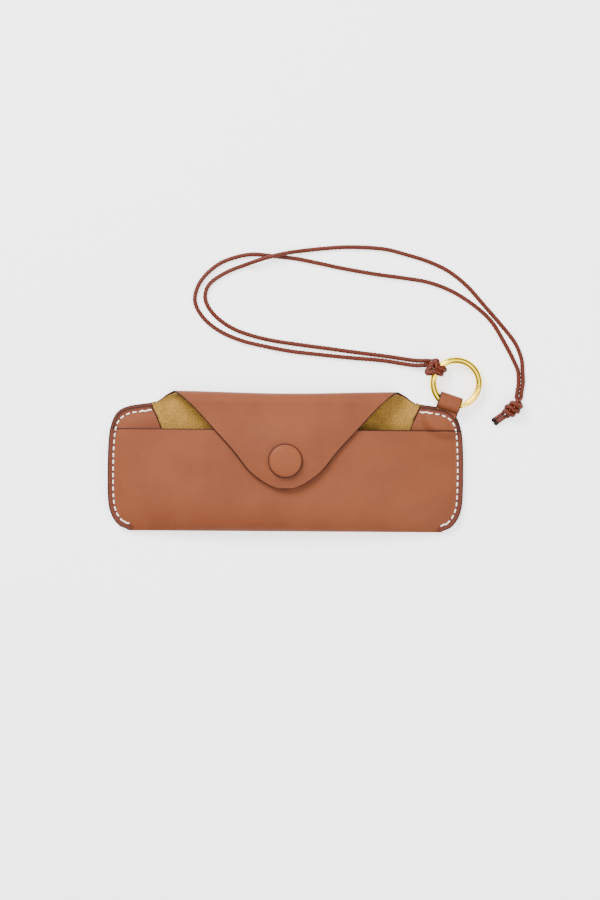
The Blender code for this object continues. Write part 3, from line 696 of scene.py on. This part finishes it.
def back_lift(inset):
    """The seam margin stands a little off the table, which leaves room for the stitches behind it."""
    return 0.18 * (1 - smooth((inset - 3.0) / 5.0))


def shoulder_row(share):
    """A row across the back: level in the middle, its ends on the outline of the shoulders."""
    end_x, end_y = shoulder_end(EDGE_CURVE, share)
    middle_y = MOUTH_Y + (BACK_TOP_Y - MOUTH_Y) * share
    x = columns_for(end_x)
    ramp_start = 0.995 - 0.35 * (1 - share)
    ramp = np.clip((np.abs(x) / end_x - ramp_start) / (1 - ramp_start), 0, 1) ** 2
    return x, middle_y + (end_y - middle_y) * ramp


def make_body():
    """Back, bottom fold and front of the pouch as one sheet of leather."""
    rows = []
    for share in np.linspace(1, 0.03, 30):
        x, y = shoulder_row(share)
        rows.append(row(x, y, BACK_Z + back_lift(curve_distance(EDGE_CURVE, x, y))))
    for y in np.linspace(MOUTH_Y, BOTTOM_Y + BOTTOM_TURN + 0.4, 44):
        x = columns_for(half_width(y))
        rows.append(row(x, y, BACK_Z + back_lift(half_width(y) - np.abs(x))))
    for turn in np.radians(np.linspace(0, 90, 12)):
        y = BOTTOM_Y + BOTTOM_TURN * (1 - math.sin(turn))
        x = columns_for(half_width(y))
        side = front_surface(x, BOTTOM_Y)
        start = BACK_Z + back_lift(half_width(y) - np.abs(x))
        rows.append(row(x, y, start + (side - start) * (1 - math.cos(turn))))
    back_rows = len(rows)
    lines = BOTTOM_Y + BOTTOM_ROUND * np.linspace(0.03, 1, 22) ** 1.7
    mouth = MOUTH_Y - np.array([0.9, 0.6, 0.42, 0.2, 0.05, 0.0])
    for y in np.concatenate([lines, np.linspace(-17.6, MOUTH_Y - 1.4, 40), mouth]):
        x = columns_for(half_width(y))
        rows.append(row(x, y, front_surface(x, y)))
    grid = np.array(rows)
    distance = curve_distance(EDGE_CURVE, grid[..., 0], grid[..., 1])
    distance[back_rows:] = np.minimum(distance[back_rows:], MOUTH_Y - grid[back_rows:, :, 1])
    looks = [LOOKS["margin_shaded"], LOOKS["edge"]]
    body = sheet("pouch_leather", grid[:, ::-1], LEATHER, looks, distance[:, ::-1])
    bind(body, "pouch", "body_leather")


def blend_round_fold(piece):
    """Bake the sheet's transform into its mesh."""
    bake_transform(piece)


def make_linings():
    """Back lining with the lower half of the fold's, and the front's lining."""
    rows, distances, weights = [], [], []
    for y in np.concatenate([np.linspace(-29.0, 18.6, 40), np.linspace(19.4, 27.3, 14)]):
        half = wing_inner(y) - 0.35 if y > 19 else min(half_width(y) - WING_FLAT - WING_RISE, 70.0)
        x = small_columns(half)
        rows.append(row(x, y, BACK_Z))
        distances.append(half - np.abs(x))
        weights.append(0.0)
    low, low_distance = fold_rows(1, 90, 16, LINING_INSET)
    weights += list(smooth(np.linspace(0.01, 1, 16)))
    distances = np.array(distances + low_distance)
    back = sheet("suede_back", np.array(rows + low), LINING, LOOKS["suede"], distances, LINING_STEP, False)
    blend_round_fold(back)
    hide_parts("back_lining", "fold_lining")

    columns = 2 * smooth((np.linspace(-1, 1, 61) + 1) / 2) - 1
    rows, distances = [], []
    for y in np.concatenate([np.linspace(-27.8, 13.6, 44), [14.1, 14.4]]):
        half = 0.8 * half_width(y)
        x = columns * half
        rows.append(row(x, y, front_surface(x, y)))
        distances.append(half - np.abs(x))
    distances = np.array(distances)
    front = sheet("suede_front", np.array(rows), LINING, LOOKS["suede"], distances, -LINING_STEP, False)
    bind(front, "pouch", "front_lining")


def fold_rows(start_deg, end_deg, count, inset):
    """Rows of the sheet round the top fold, sagging between its corners, with distances to the cut edge."""
    rows, distances = [], []
    for turn in np.radians(np.linspace(start_deg, end_deg, count)):
        y = FOLD_Y + FOLD_RADIUS * math.sin(turn)
        outer = min(FOLD_HALF_WIDTH, half_width(y + 0.3)) if turn < math.pi / 2 else flap_half_width(y)
        x = small_columns(outer - inset)
        sag = FOLD_SAG * math.sin(turn) * (1 - smooth(np.abs(x) / 56.0))
        z = BACK_Z + FOLD_RADIUS * (1 - math.cos(turn))
        rows.append(row(x, y - sag, z))
        distances.append(outer - inset - np.abs(x))
    return rows, distances


def flap_surface(x, y):
    bend = 0.14 * ripple(x, y, 26.0, 5.3) + 0.04 * ripple(x, y, 8.0, 2.2)
    return flap_height(x, y) + smooth((FOLD_Y - y) / FLAP_SETTLE) * bend


def flap_rows(inset):
    """Rows of the flap from the fold to its tip, with each point's distance to the cut edge."""
    rows, distances = [], []
    tip = FLAP_EDGE[-1][1] + inset
    ends = tip + np.array([2.2, 1.7, 1.3, 0.9, 0.6, 0.35, 0.15, 0.05, 0.0])
    for y in np.concatenate([np.linspace(FOLD_Y - 0.1, tip + 2.7, 62), ends]):
        half = max(flap_half_width(y) - 1.3 * inset, 0.8)
        x = small_columns(half)
        rows.append(row(x, y, flap_surface(x, y)))
        distances.append(np.minimum((half - np.abs(x)) * 0.7, y - tip))
    return rows, distances


def make_flap():
    """Leather over the fold in two halves, and the flap's leather and lining in one with the upper half."""
    x = small_columns(FOLD_HALF_WIDTH)
    first = row(x, BACK_TOP_Y + 0.01, BACK_Z)
    low, low_distance = fold_rows(1, 90, 16, 0.0)
    lower = sheet("leather_fold", np.array([first] + low), LEATHER, [LOOKS["leather"], LOOKS["edge"]],
                  np.array([FOLD_HALF_WIDTH - np.abs(x)] + low_distance))
    blend_round_fold(lower)
    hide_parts("fold_panel")

    layers = (("leather_flap", LEATHER, 0.0, 0.0, "leather", "flap_panel", "tan_leather"),
              ("suede_flap", LINING, LINING_STEP, LINING_INSET, "suede", "flap_lining", "khaki_suede"))
    for name, thickness, offset, inset, look, node, slot in layers:
        high, high_distance = fold_rows(90, 179, 16, inset)
        down, down_distance = flap_rows(inset)
        flap = sheet(name, np.array(high + down), thickness, [LOOKS[look], LOOKS["edge"]],
                     np.array(high_distance + down_distance), offset, look == "leather")
        blend_round_fold(flap)
        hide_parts(node)


def make_wing(side):
    """A side wing, sewn in under the front's edge; its inner edge is free."""
    name = "left" if side < 0 else "right"
    trimmed = offset_inwards(EDGE_CURVE, WING_TRIM)
    below_mouth = np.linspace(-29.0, MOUTH_Y - 0.3, 36)
    ends = [(wing_inner(y), y, half_width(y) - WING_TRIM, y) for y in below_mouth]
    for share in np.linspace(0.02, 0.985, 30):
        y = MOUTH_Y + (WING_EDGE[-1][1] - 0.4 - MOUTH_Y) * share
        ends.append((wing_inner(y), y, *shoulder_end(trimmed, share)))
    near_cut = np.array([0.0, 0.05, 0.18, 0.35, 0.55, 0.8])
    rows = []
    for inner_x, inner_y, outer_x, outer_y in ends:
        width = max(math.hypot(outer_x - inner_x, outer_y - inner_y), 2.5)
        middle = np.linspace(1 / width, 1 - 1 / width, 28)
        spread = np.concatenate([near_cut / width, middle, 1 - near_cut[::-1] / width])
        x = side * (outer_x + (inner_x - outer_x) * spread)
        y = outer_y + (inner_y - outer_y) * spread
        rows.append(row(x, y, gusset_height(x, y)))
    grid = np.array(rows)
    distance = np.minimum(curve_distance(trimmed, grid[..., 0], grid[..., 1]),
                          curve_distance(WING_CURVE, grid[..., 0], grid[..., 1]))
    wing = sheet(f"{name}_wing", grid, GUSSET, [LOOKS["margin_shaded"], LOOKS["edge"]], distance)
    bind(wing, "pouch", f"{name}_gusset")


def make_tab():
    points = [(-TAB_TUCK, 2.55), (-2.0, 2.55), (0.1, 2.6), (0.4, 3.6), (0.7, 5.2), (2.0, 6.25), (4.0, 6.3),
              (6.2, 5.7), (7.3, 3.9), (6.2, 2.2), (4.0, 1.7), (2.0, 1.5), (0.0, 1.5), (-TAB_TUCK, 1.5)]
    line = spaced(curve_through(points, 8), 0.35)
    across = small_columns(TAB_WIDTH / 2, 31)
    rows = []
    for out, z in line:
        place = TAB_ROOT + TAB_OUT * out
        rows.append([(*(place + TAB_ACROSS * a), z) for a in across])
    distance = np.tile(TAB_WIDTH / 2 - np.abs(across), (len(line), 1))
    tab = sheet("ring_tab", np.array(rows), LEATHER, [LOOKS["leather"], LOOKS["edge"]], distance)
    bind(tab, "pouch", "tab_loop")


# ---------------------------------------------------------------- stitching

def seam_line(side):
    """The line of stitching down one side, seen from above, from the shoulder to the bottom corner."""
    edge = spaced(EDGE_CURVE[EDGE_CURVE[:, 1] < SEAM_TOP_Y], 0.4)
    along = np.gradient(edge, axis=0)
    along /= np.linalg.norm(along, axis=1, keepdims=True)
    inset = SEAM_INSET + SHOULDER_INSET * smooth((edge[:, 1:] - MOUTH_Y - 3.0) / 6.0)
    inner = edge + inset * np.stack([-along[:, 1], along[:, 0]], axis=1)
    inner = inner[inner[:, 1] > BOTTOM_Y + 1.4]
    inner[:, 0] *= side
    return inner


def seam_top(x, y):
    on_wing = smooth((y - MOUTH_Y - 0.2) / 0.8)
    front = front_surface(x, y) + LEATHER / 2
    wing = gusset_height(x, y) + GUSSET / 2
    return front + (wing - front) * on_wing


def stitch(name, start, end, squash=1.0):
    """One stitch: a short bowed length of two-ply thread whose ends dive into their holes."""
    radius = THREAD / 2
    share = np.linspace(0, 1, 13)[:, None]
    path = start + (end - start) * share
    path[:, 2] += radius * (1.15 * np.sin(math.pi * share[:, 0]) ** 0.4 - 0.75)
    turn = np.linspace(0, 2 * math.pi, 10, endpoint=False)
    plies = 1 + 0.10 * np.cos(2 * (turn[None] + 5.0 * share))
    return tube(name, path, rounded_ends(path, radius) * plies, 10, LOOKS["thread"], squash)


def make_seam(side):
    name = "left" if side < 0 else "right"
    line = seam_line(side)
    along = lengths_along(line)
    count = int((along[-1] - STITCH_LENGTH) / STITCH_PITCH)
    pieces = []

    def on_line(distance):
        return np.array([np.interp(distance, along, column) for column in line.T])

    def place(distance, sideways=0.0):
        point = on_line(distance)
        ahead = on_line(distance + 0.3) - point
        norm = math.hypot(*ahead) or 1.0
        x, y = point[0] - sideways * ahead[1] / norm, point[1] + sideways * ahead[0] / norm
        return np.array([x, y, float(seam_top(x, y))])

    # Painted shade: a small near-black disc at each stitch hole stands in for the shade inside it
    def recess_shade(centre, index):
        profile = [(0, centre[2] + 0.05), (0.36, centre[2] + 0.03), (0.4, centre[2] - 0.1),
                   (0, centre[2] - 0.12)]
        return turned(f"{name}_hole_{index}", profile, LOOKS["recess_shade"], 12, centre[:2])

    for k in range(count + 1):
        start = k * STITCH_PITCH + 0.4
        bar = k < 1 or k > count - 2
        lanes = ((-0.2, 0.0), (0.3, 1.1)) if bar else ((0.0, 0.0),)
        for lane, shift in lanes:
            one = place(start + shift, lane)
            two = place(start + shift + STITCH_LENGTH, -lane)
            pieces.append(stitch(f"{name}_stitch_{k}", one, two))
        pieces.append(recess_shade(place(start - 0.1), 2 * k))
        pieces.append(recess_shade(place(start + STITCH_LENGTH + 0.1), 2 * k + 1))
        under_one, under_two = place(start), place(start + STITCH_LENGTH)
        under_one[2] = under_two[2] = BACK_STITCH_Z
        pieces.append(stitch(f"{name}_back_stitch_{k}", under_one, under_two, 0.35))
    seam = join(f"{name}_stitching", pieces)
    bind(seam, "pouch", f"{name}_seam_thread")


# ---------------------------------------------------------------- snap

def rounded_profile(points, radius, steps=4):
    """A profile with each inner corner rounded; points on the axis are kept."""
    out = []
    count = len(points)
    for i, point in enumerate(points):
        point = np.array(point, float)
        if point[0] < 1e-6:
            out.append(tuple(point))
            continue
        before, after = np.array(points[i - 1], float), np.array(points[(i + 1) % count], float)
        reach = min(radius, 0.45 * np.linalg.norm(before - point), 0.45 * np.linalg.norm(after - point))
        one = point + unit(before - point) * reach
        two = point + unit(after - point) * reach
        for t in np.linspace(0, 1, steps):
            out.append(tuple((1 - t) ** 2 * one + 2 * t * (1 - t) * point + t**2 * two))
    return out


def make_snap():
    """Cap, cover, socket and ring spring on the flap; stud and rivet on the front panel."""
    flap_top = float(flap_height(0.0, 0.0)) + LEATHER / 2
    flap_under = flap_top - LEATHER - LINING - LAYER_GAP
    front_top = float(front_height(0.0, 0.0)) + LEATHER / 2
    front_under = front_top - LEATHER - LINING - LAYER_GAP
    base = flap_top + 0.3
    top = flap_under - 0.75
    low = front_top + 0.85
    seat = front_top + 0.3

    def metal_piece(name, profile, corner, body):
        piece = turned(name, rounded_profile(profile, corner), LOOKS["brass"])
        bind(piece, body, f"snap_{name}")

    shell = [(0, base + 1.45), (4.0, base + 1.25), (6.6, base + 0.7), (7.3, base), (1.25, base),
             (1.25, top - 0.55), (0, top - 0.55)]
    metal_piece("cap_shell", shell, 0.25, "flap")
    profile = [(0, base + 2.15), (3.0, base + 2.12), (5.6, base + 1.95), (7.2, base + 1.55), (8.0, base + 0.8),
               (CAP_RADIUS, base + 0.1), (CAP_RADIUS - 0.25, base - 0.25), (7.6, base - 0.2),
               (7.45, base + 0.3), (6.8, base + 1.0), (4.1, base + 1.5), (0, base + 1.7)]
    cover = turned("cap_cover", rounded_profile(profile, 0.6, 6), LOOKS["cap"])
    points = np.array([vertex.co for vertex in cover.data.vertices]) / MM
    # Painted shade: the leather's edge-paint mask, fed the distance from the cap's rim, darkens a ring round
    # the raised cap
    add_attribute(cover, "from_edge", CAP_RADIUS - np.hypot(points[:, 0], points[:, 1]))
    bind(cover, "flap", "snap_cap_cover")
    socket = [(1.5, top), (5.2, top), (5.2, low), (3.6, low), (3.6, low + 0.35), (4.3, low + 0.5),
              (4.3, low + 1.1), (3.6, low + 1.2), (3.6, top - 0.7), (1.5, top - 0.7)]
    metal_piece("socket", socket, 0.18, "flap")
    turns = np.radians(np.linspace(20, 340, 90))
    ring = [(SPRING_RADIUS * math.cos(a), SPRING_RADIUS * math.sin(a), low + 0.8) for a in turns]
    spring = tube("socket_spring", ring, rounded_ends(ring, 0.22), 12, LOOKS["steel"])
    bind(spring, "flap", "snap_spring")
    stud = [(1.5, seat), (4.9, seat), (4.9, seat + 0.3), (2.7, seat + 0.4), (2.6, seat + 0.9),
            (3.2, seat + 1.15), (2.9, seat + 1.5), (1.5, seat + 1.6)]
    metal_piece("stud", stud, 0.18, "pouch")
    rivet = [(0, front_under - 0.6), (4.6, front_under - 0.6), (4.6, front_under - 0.2),
             (1.3, front_under - 0.2), (1.3, seat + 1.4), (0, seat + 1.4)]
    metal_piece("stud_rivet", rivet, 0.15, "pouch")


# ---------------------------------------------------------------- ring

def direction_at(degrees):
    turn = math.radians(degrees)
    return np.array([math.cos(turn), math.sin(turn), 0])


def ring_point(degrees):
    return np.array([*RING_CENTRE, RING_Z]) + RING_RADIUS * direction_at(degrees)


def ring_bar(name, start, end, radius, look="gold"):
    path = [ring_point(degrees) for degrees in np.linspace(start, end, int(abs(end - start) / 1.5) + 2)]
    return tube(name, path, radius, 32, LOOKS[look])


def gate_block(along, distance):
    """A block whose one face is the slanted meeting plane of gate and ring."""
    normal, across = direction_at(GATE_FACE_DEG), direction_at(GATE_FACE_DEG + 90)
    face = ring_point(GATE_FREE_DEG) + normal * distance
    corners = []
    for depth in (0.0, 5.0 * along):
        for side, up in ((-6, -4), (6, -4), (6, 4), (-6, 4)):
            corners.append(face + normal * depth + across * side + np.array([0, 0, up]))
    faces = [(0, 1, 2, 3), (4, 5, 6, 7), (0, 1, 5, 4), (1, 2, 6, 5), (2, 3, 7, 6), (3, 0, 4, 7)]
    return mesh_object("gate_block", corners, faces, LOOKS["gold"])


def pin_profile(radius, half_height):
    low, high = RING_Z - half_height, RING_Z + half_height
    return [(0, low), (radius, low), (radius, high), (0, high)]


def disc(radius, half_height, segments=40):
    """An upright disc on the axis of the gate's hinge."""
    profile = pin_profile(radius, half_height)
    return turned("disc", profile, LOOKS["gold"], segments, ring_point(GATE_HINGE_DEG)[:2])


def soften(obj, width):
    """Small bevels on the sharp edges left by the cuts."""
    bevel = obj.modifiers.new("soften", "BEVEL")
    bevel.width = width * MM
    bevel.segments = 2
    bevel.limit_method = "ANGLE"
    bevel.angle_limit = math.radians(50)
    apply_modifiers(obj)
    obj.data.shade_smooth()
    obj.data.set_sharp_from_angle(angle=math.radians(40))


def make_ring():
    hinge = ring_point(GATE_HINGE_DEG)
    ring = ring_bar("o_ring", GATE_FREE_DEG - 6, 360 + GATE_HINGE_DEG - 3, WIRE / 2)
    cut(ring, disc(1.42, 1.5), "UNION")
    cut(ring, gate_block(-1, 0.12))
    cut(ring, disc(3.1, 0.8))
    cut(ring, disc(PIN_HOLE, 3.0, 24))
    soften(ring, 0.12)

    gate = ring_bar("o_ring_gate", GATE_HINGE_DEG + 7, GATE_FREE_DEG + 8, WIRE / 2 - 0.06, "gate")
    cut(gate, disc(1.75, 3.0))
    tip = ring_point(GATE_HINGE_DEG + 14)
    direction = unit(tip - hinge)
    across = np.array([-direction[1], direction[0], 0]) * 0.9
    strip = np.array([[place - across, place + across] for place in (hinge, (hinge + tip) / 2, tip)])
    tongue = sheet("tongue", strip, 1.0, [LOOKS["gold"], LOOKS["gold"]], np.full(strip.shape[:2], 9.0))
    cut(gate, tongue, "UNION")
    cut(gate, disc(1.25, 0.5), "UNION")
    cut(gate, gate_block(1, -0.1))
    cut(gate, disc(PIN_HOLE, 3.0, 24))
    soften(gate, 0.1)
    # Painted shade: a thin near-black bar in the gate's gap stands in for the shade there
    gap_shade_stub = ring_bar("gap_shade_stub", GATE_FREE_DEG - 4, GATE_FREE_DEG + 6, WIRE / 2 - 0.22, "recess_shade")
    cut(gap_shade_stub, gate_block(1, 0.1))
    gate = join("o_ring_gate", [gate, gap_shade_stub])

    pin = turned("pin", rounded_profile(pin_profile(PIN / 2, 1.5), 0.12), LOOKS["steel"], 32, hinge[:2])
    start = hinge + (ring_point(GATE_HINGE_DEG - 9) - hinge) * 0.85
    end = hinge + (ring_point(GATE_HINGE_DEG - 15) - hinge) * 0.98
    axis = unit(end - start)
    across = np.array([-axis[1], axis[0], 0])
    coil = []
    for share in np.linspace(0, 1, 90):
        turn = 6 * math.pi * share
        swing = math.cos(turn) * across + math.sin(turn) * np.array([0, 0, 1])
        coil.append(start + (end - start) * share + 0.42 * swing)
    spring = tube("gate_coil", coil, 0.12, 10, LOOKS["steel"])
    bind(ring, "ring", "ring_body")
    bind(gate, "gate", "ring_gate")
    bind(pin, "ring", "gate_pin")
    bind(spring, "ring", "gate_spring")


# ---------------------------------------------------------------- cord

def braid(name, path, radius=BRAID_RADIUS, ends=False, squash=1.0):
    """A round braid along a path: two sets of plies wind opposite ways and cross."""
    path = spaced(path, BRAID_STEP) if np.ndim(radius) == 0 else path
    along = lengths_along(path)
    turn = np.linspace(0, 2 * math.pi, BRAID_SIDES, endpoint=False)
    wind = 2 * math.pi * along[:, None] / BRAID_PITCH
    one, two = np.cos(4 * (turn[None] + wind)), np.cos(4 * (turn[None] - wind))
    ply_crown_shading = np.maximum(one, two) * 0.5 + 0.5
    radii = radius * (0.86 + 0.14 * ply_crown_shading)
    if ends:
        radii = radii * rounded_ends(path, radius) / radius
    obj = tube(name, path, radii, BRAID_SIDES, LOOKS["cord"], squash)
    # The crown values also paint the cord's light: painted highlights on the ply crowns, painted shade between
    # them
    add_attribute(obj, "ply_crown_shading", ply_crown_shading.ravel())
    return obj, path


def hitch_path():
    """A cow hitch: in under the bar, round the wire, along the bar and back the same way.

    Points are (towards the cord's pull, along the wire, up) from the wire's centre.
    """
    origin = ring_point(HITCH_DEG)
    away = direction_at(PULL_DEG) / math.cos(math.radians(PULL_DEG - HITCH_DEG))
    along = direction_at(HITCH_DEG + 90)
    wrap = WIRE / 2 + CORD / 2 + 0.1
    lower = [(6.2, -0.1, -1.35), (5.1, -0.45, -1.4), (4.2, -0.1, -1.5), (3.3, 0.7, -1.75), (2.3, 1.5, -2.2),
             (0.9, 1.9, -wrap), (-1.4, 1.9, -wrap + 0.3), (-wrap, 1.9, -1.0), (-wrap, 1.9, 1.0),
             (-1.7, 1.9, 2.4), (0.2, 1.75, wrap + 0.05), (1.2, 2.35, 2.75), (2.2, 3.4, 2.35),
             (3.2, 3.2, 1.95), (3.6, 1.8, 1.8)]
    upper = [(3.7, 0.0, 1.8), (3.95, -1.8, 1.8), (3.9, -3.2, 1.95), (3.0, -3.8, 2.2), (2.0, -2.5, 2.5),
             (1.1, -1.1, 2.8), (0.2, -0.75, wrap + 0.05), (-1.7, -0.65, 2.4), (-wrap, -0.6, 1.0),
             (-wrap, -0.6, -1.0), (-1.4, -0.6, -wrap + 0.3), (0.9, -0.65, -wrap), (2.0, -1.2, -2.3),
             (3.2, -2.1, -1.75), (4.6, -2.75, -1.45), (6.05, -2.7, -1.4), (7.2, -2.4, -1.35)]
    return [origin + away * a + along * b + np.array([0, 0, c]) for a, b, c in lower + upper]


def strand_path(first, towards, route, lift=None):
    """A strand from the hitch's end down to the surface and along its route."""
    ease = first + towards * 6.0
    ease[2] = first[2] - 0.75
    points = [first, ease] + [np.array([x, y, FLOOR_Z]) for x, y in route]
    path = curve_through(points)
    path[:, 2] = np.maximum(path[:, 2], FLOOR_Z)
    if lift is not None:
        distance = np.hypot(path[:, 0] - lift[0], path[:, 1] - lift[1])
        path[:, 2] += CROSSING_LIFT * smooth((17.0 - distance) / 10.0)
    return spaced(path, 1.0)


def bend_with_ring(strand):
    """Bake the strand's transform into its mesh."""
    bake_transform(strand)


def knot_path(half_turn):
    """One of the two cords through the end knot: wound round the knot's long axis from entry to tail."""
    axis = unit(np.array([*(TAIL_TIP - KNOT), 0.0]))
    across = np.array([-axis[1], axis[0], 0.0])
    centre = np.array([*KNOT, KNOT_Z])
    points = []
    for share in np.linspace(0, 1, 40):
        along = KNOT_LENGTH * (share - 0.5)
        radius = KNOT_WRAP * (1 - 0.5 * (2 * share - 1) ** 4)
        turn = math.pi * half_turn + KNOT_TURNS * 2 * math.pi * share
        points.append(centre + axis * along + across * radius * math.cos(turn)
                      + np.array([0, 0, 0.85 * radius * math.sin(turn)]))
    return points


def make_cord():
    ends = spaced(curve_through(hitch_path(), 8), 0.3)
    from_end = np.minimum(lengths_along(ends), lengths_along(ends[::-1])[::-1])[:, None]
    hitch, _ = braid("hitch", ends, BRAID_RADIUS + 0.33 * smooth(from_end / 4.0), squash=0.78)
    for vertex in hitch.data.vertices:
        vertex.co.z = max(vertex.co.z, 0.03 * MM)
    bind(hitch, "ring", "ring_hitch")

    knots = []
    long_axis = unit(KNOT - TAIL_TIP)
    cross_axis = np.array([-long_axis[1], long_axis[0]])
    for name, half_turn, tip_side in (("a", 0, 1), ("b", 1, -1)):
        path = knot_path(half_turn)
        tip = TAIL_TIP + cross_axis * tip_side * 0.98
        tail = [path[-1], np.array([*(KNOT - long_axis * 4.7 + cross_axis * tip_side * 1.0), 2.2]),
                np.array([*(KNOT - long_axis * 5.9 + cross_axis * tip_side * 0.98), 1.6]),
                np.array([*tip, FLOOR_Z])]
        piece, _ = braid(f"knot_cord_{name}", spaced(curve_through(path, 4), 0.4), 1.25, ends=True)
        end, tail_line = braid(f"tail_{name}", curve_through(tail, 10), 0.98)
        beyond = tail_line[-1] + unit(tail_line[-1] - tail_line[-3]) * 0.9
        cap_path = spaced([tail_line[-7], tail_line[-4], tail_line[-1], beyond], 0.2)
        burnt = tube(f"tip_{name}", cap_path, rounded_ends(cap_path, 1.06), 20, LOOKS["burnt"])
        end = join(f"tail_{name}", [end, burnt])
        bind(piece, "pouch", "end_knot")
        bind(end, "pouch", f"cord_tail_{name}")
        knots += [piece, end]

    strands = (("a", 0, ends[0], ends[1], STRAND_A, None), ("b", 1, ends[-1], ends[-2], STRAND_B, CROSSING))
    for name, half_turn, start, before, route, lift in strands:
        line = strand_path(start, unit(start - before), route, lift)
        into_knot = knot_path(half_turn)
        line = np.vstack([line, into_knot[0], into_knot[3]])
        strand, path = braid(f"strand_{name}", curve_through(line, 3))
        bend_with_ring(strand)
        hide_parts(f"cord_strand_{name}")


# ---------------------------------------------------------------- stage

def make_stage():
    half = FLOOR_SIZE / 2
    corners = [(-half, -half, 0), (half, -half, 0), (half, half, 0), (-half, half, 0)]
    mesh = bpy.data.meshes.new("floor")
    mesh.from_pydata(corners, [], [(0, 1, 2, 3)])
    look = Look("pale_floor", 0.8)
    look.feed("Base Color", (0.93, 0.93, 0.93))
    look.feed("Emission Color", (1.0, 1.0, 1.0))
    look.feed("Emission Strength", 1.4)
    mesh.materials.append(look.material)
    add_object("floor", mesh)

    world = bpy.data.worlds.new("studio")
    world.use_nodes = True
    world.node_tree.nodes["Background"].inputs["Color"].default_value = (1.0, 1.0, 1.0, 1.0)
    world.node_tree.nodes["Background"].inputs["Strength"].default_value = 0.35
    bpy.context.scene.world = world
    aim = Vector((0, 10, 0)) * MM
    for name, place, size, power in LAMPS:
        light = bpy.data.lights.new(name, "AREA")
        light.size = size * MM
        light.energy = power
        lamp = add_object(name, light)
        lamp.location = Vector(place) * MM
        lamp.rotation_euler = (aim - lamp.location).to_track_quat("-Z", "Y").to_euler()


def make_camera():
    camera = add_object("camera", bpy.data.cameras.new("camera"))
    camera.data.sensor_width = SENSOR
    camera.data.lens = SENSOR * CAMERA_DISTANCE / VIEW_HEIGHT
    camera.location = (VIEW_CENTRE[0] * MM, VIEW_CENTRE[1] * MM, (CAMERA_DISTANCE + SUBJECT_Z) * MM)
    camera.rotation_euler = (0.0, 0.0, math.radians(ROLL_DEG))
    camera.data.clip_end = 20.0
    bpy.context.scene.camera = camera


make_camera()
make_stage()
make_body()
make_linings()
make_flap()
for wing_side in (-1, 1):
    make_wing(wing_side)
    make_seam(wing_side)
make_tab()
make_snap()
make_ring()
make_cord()
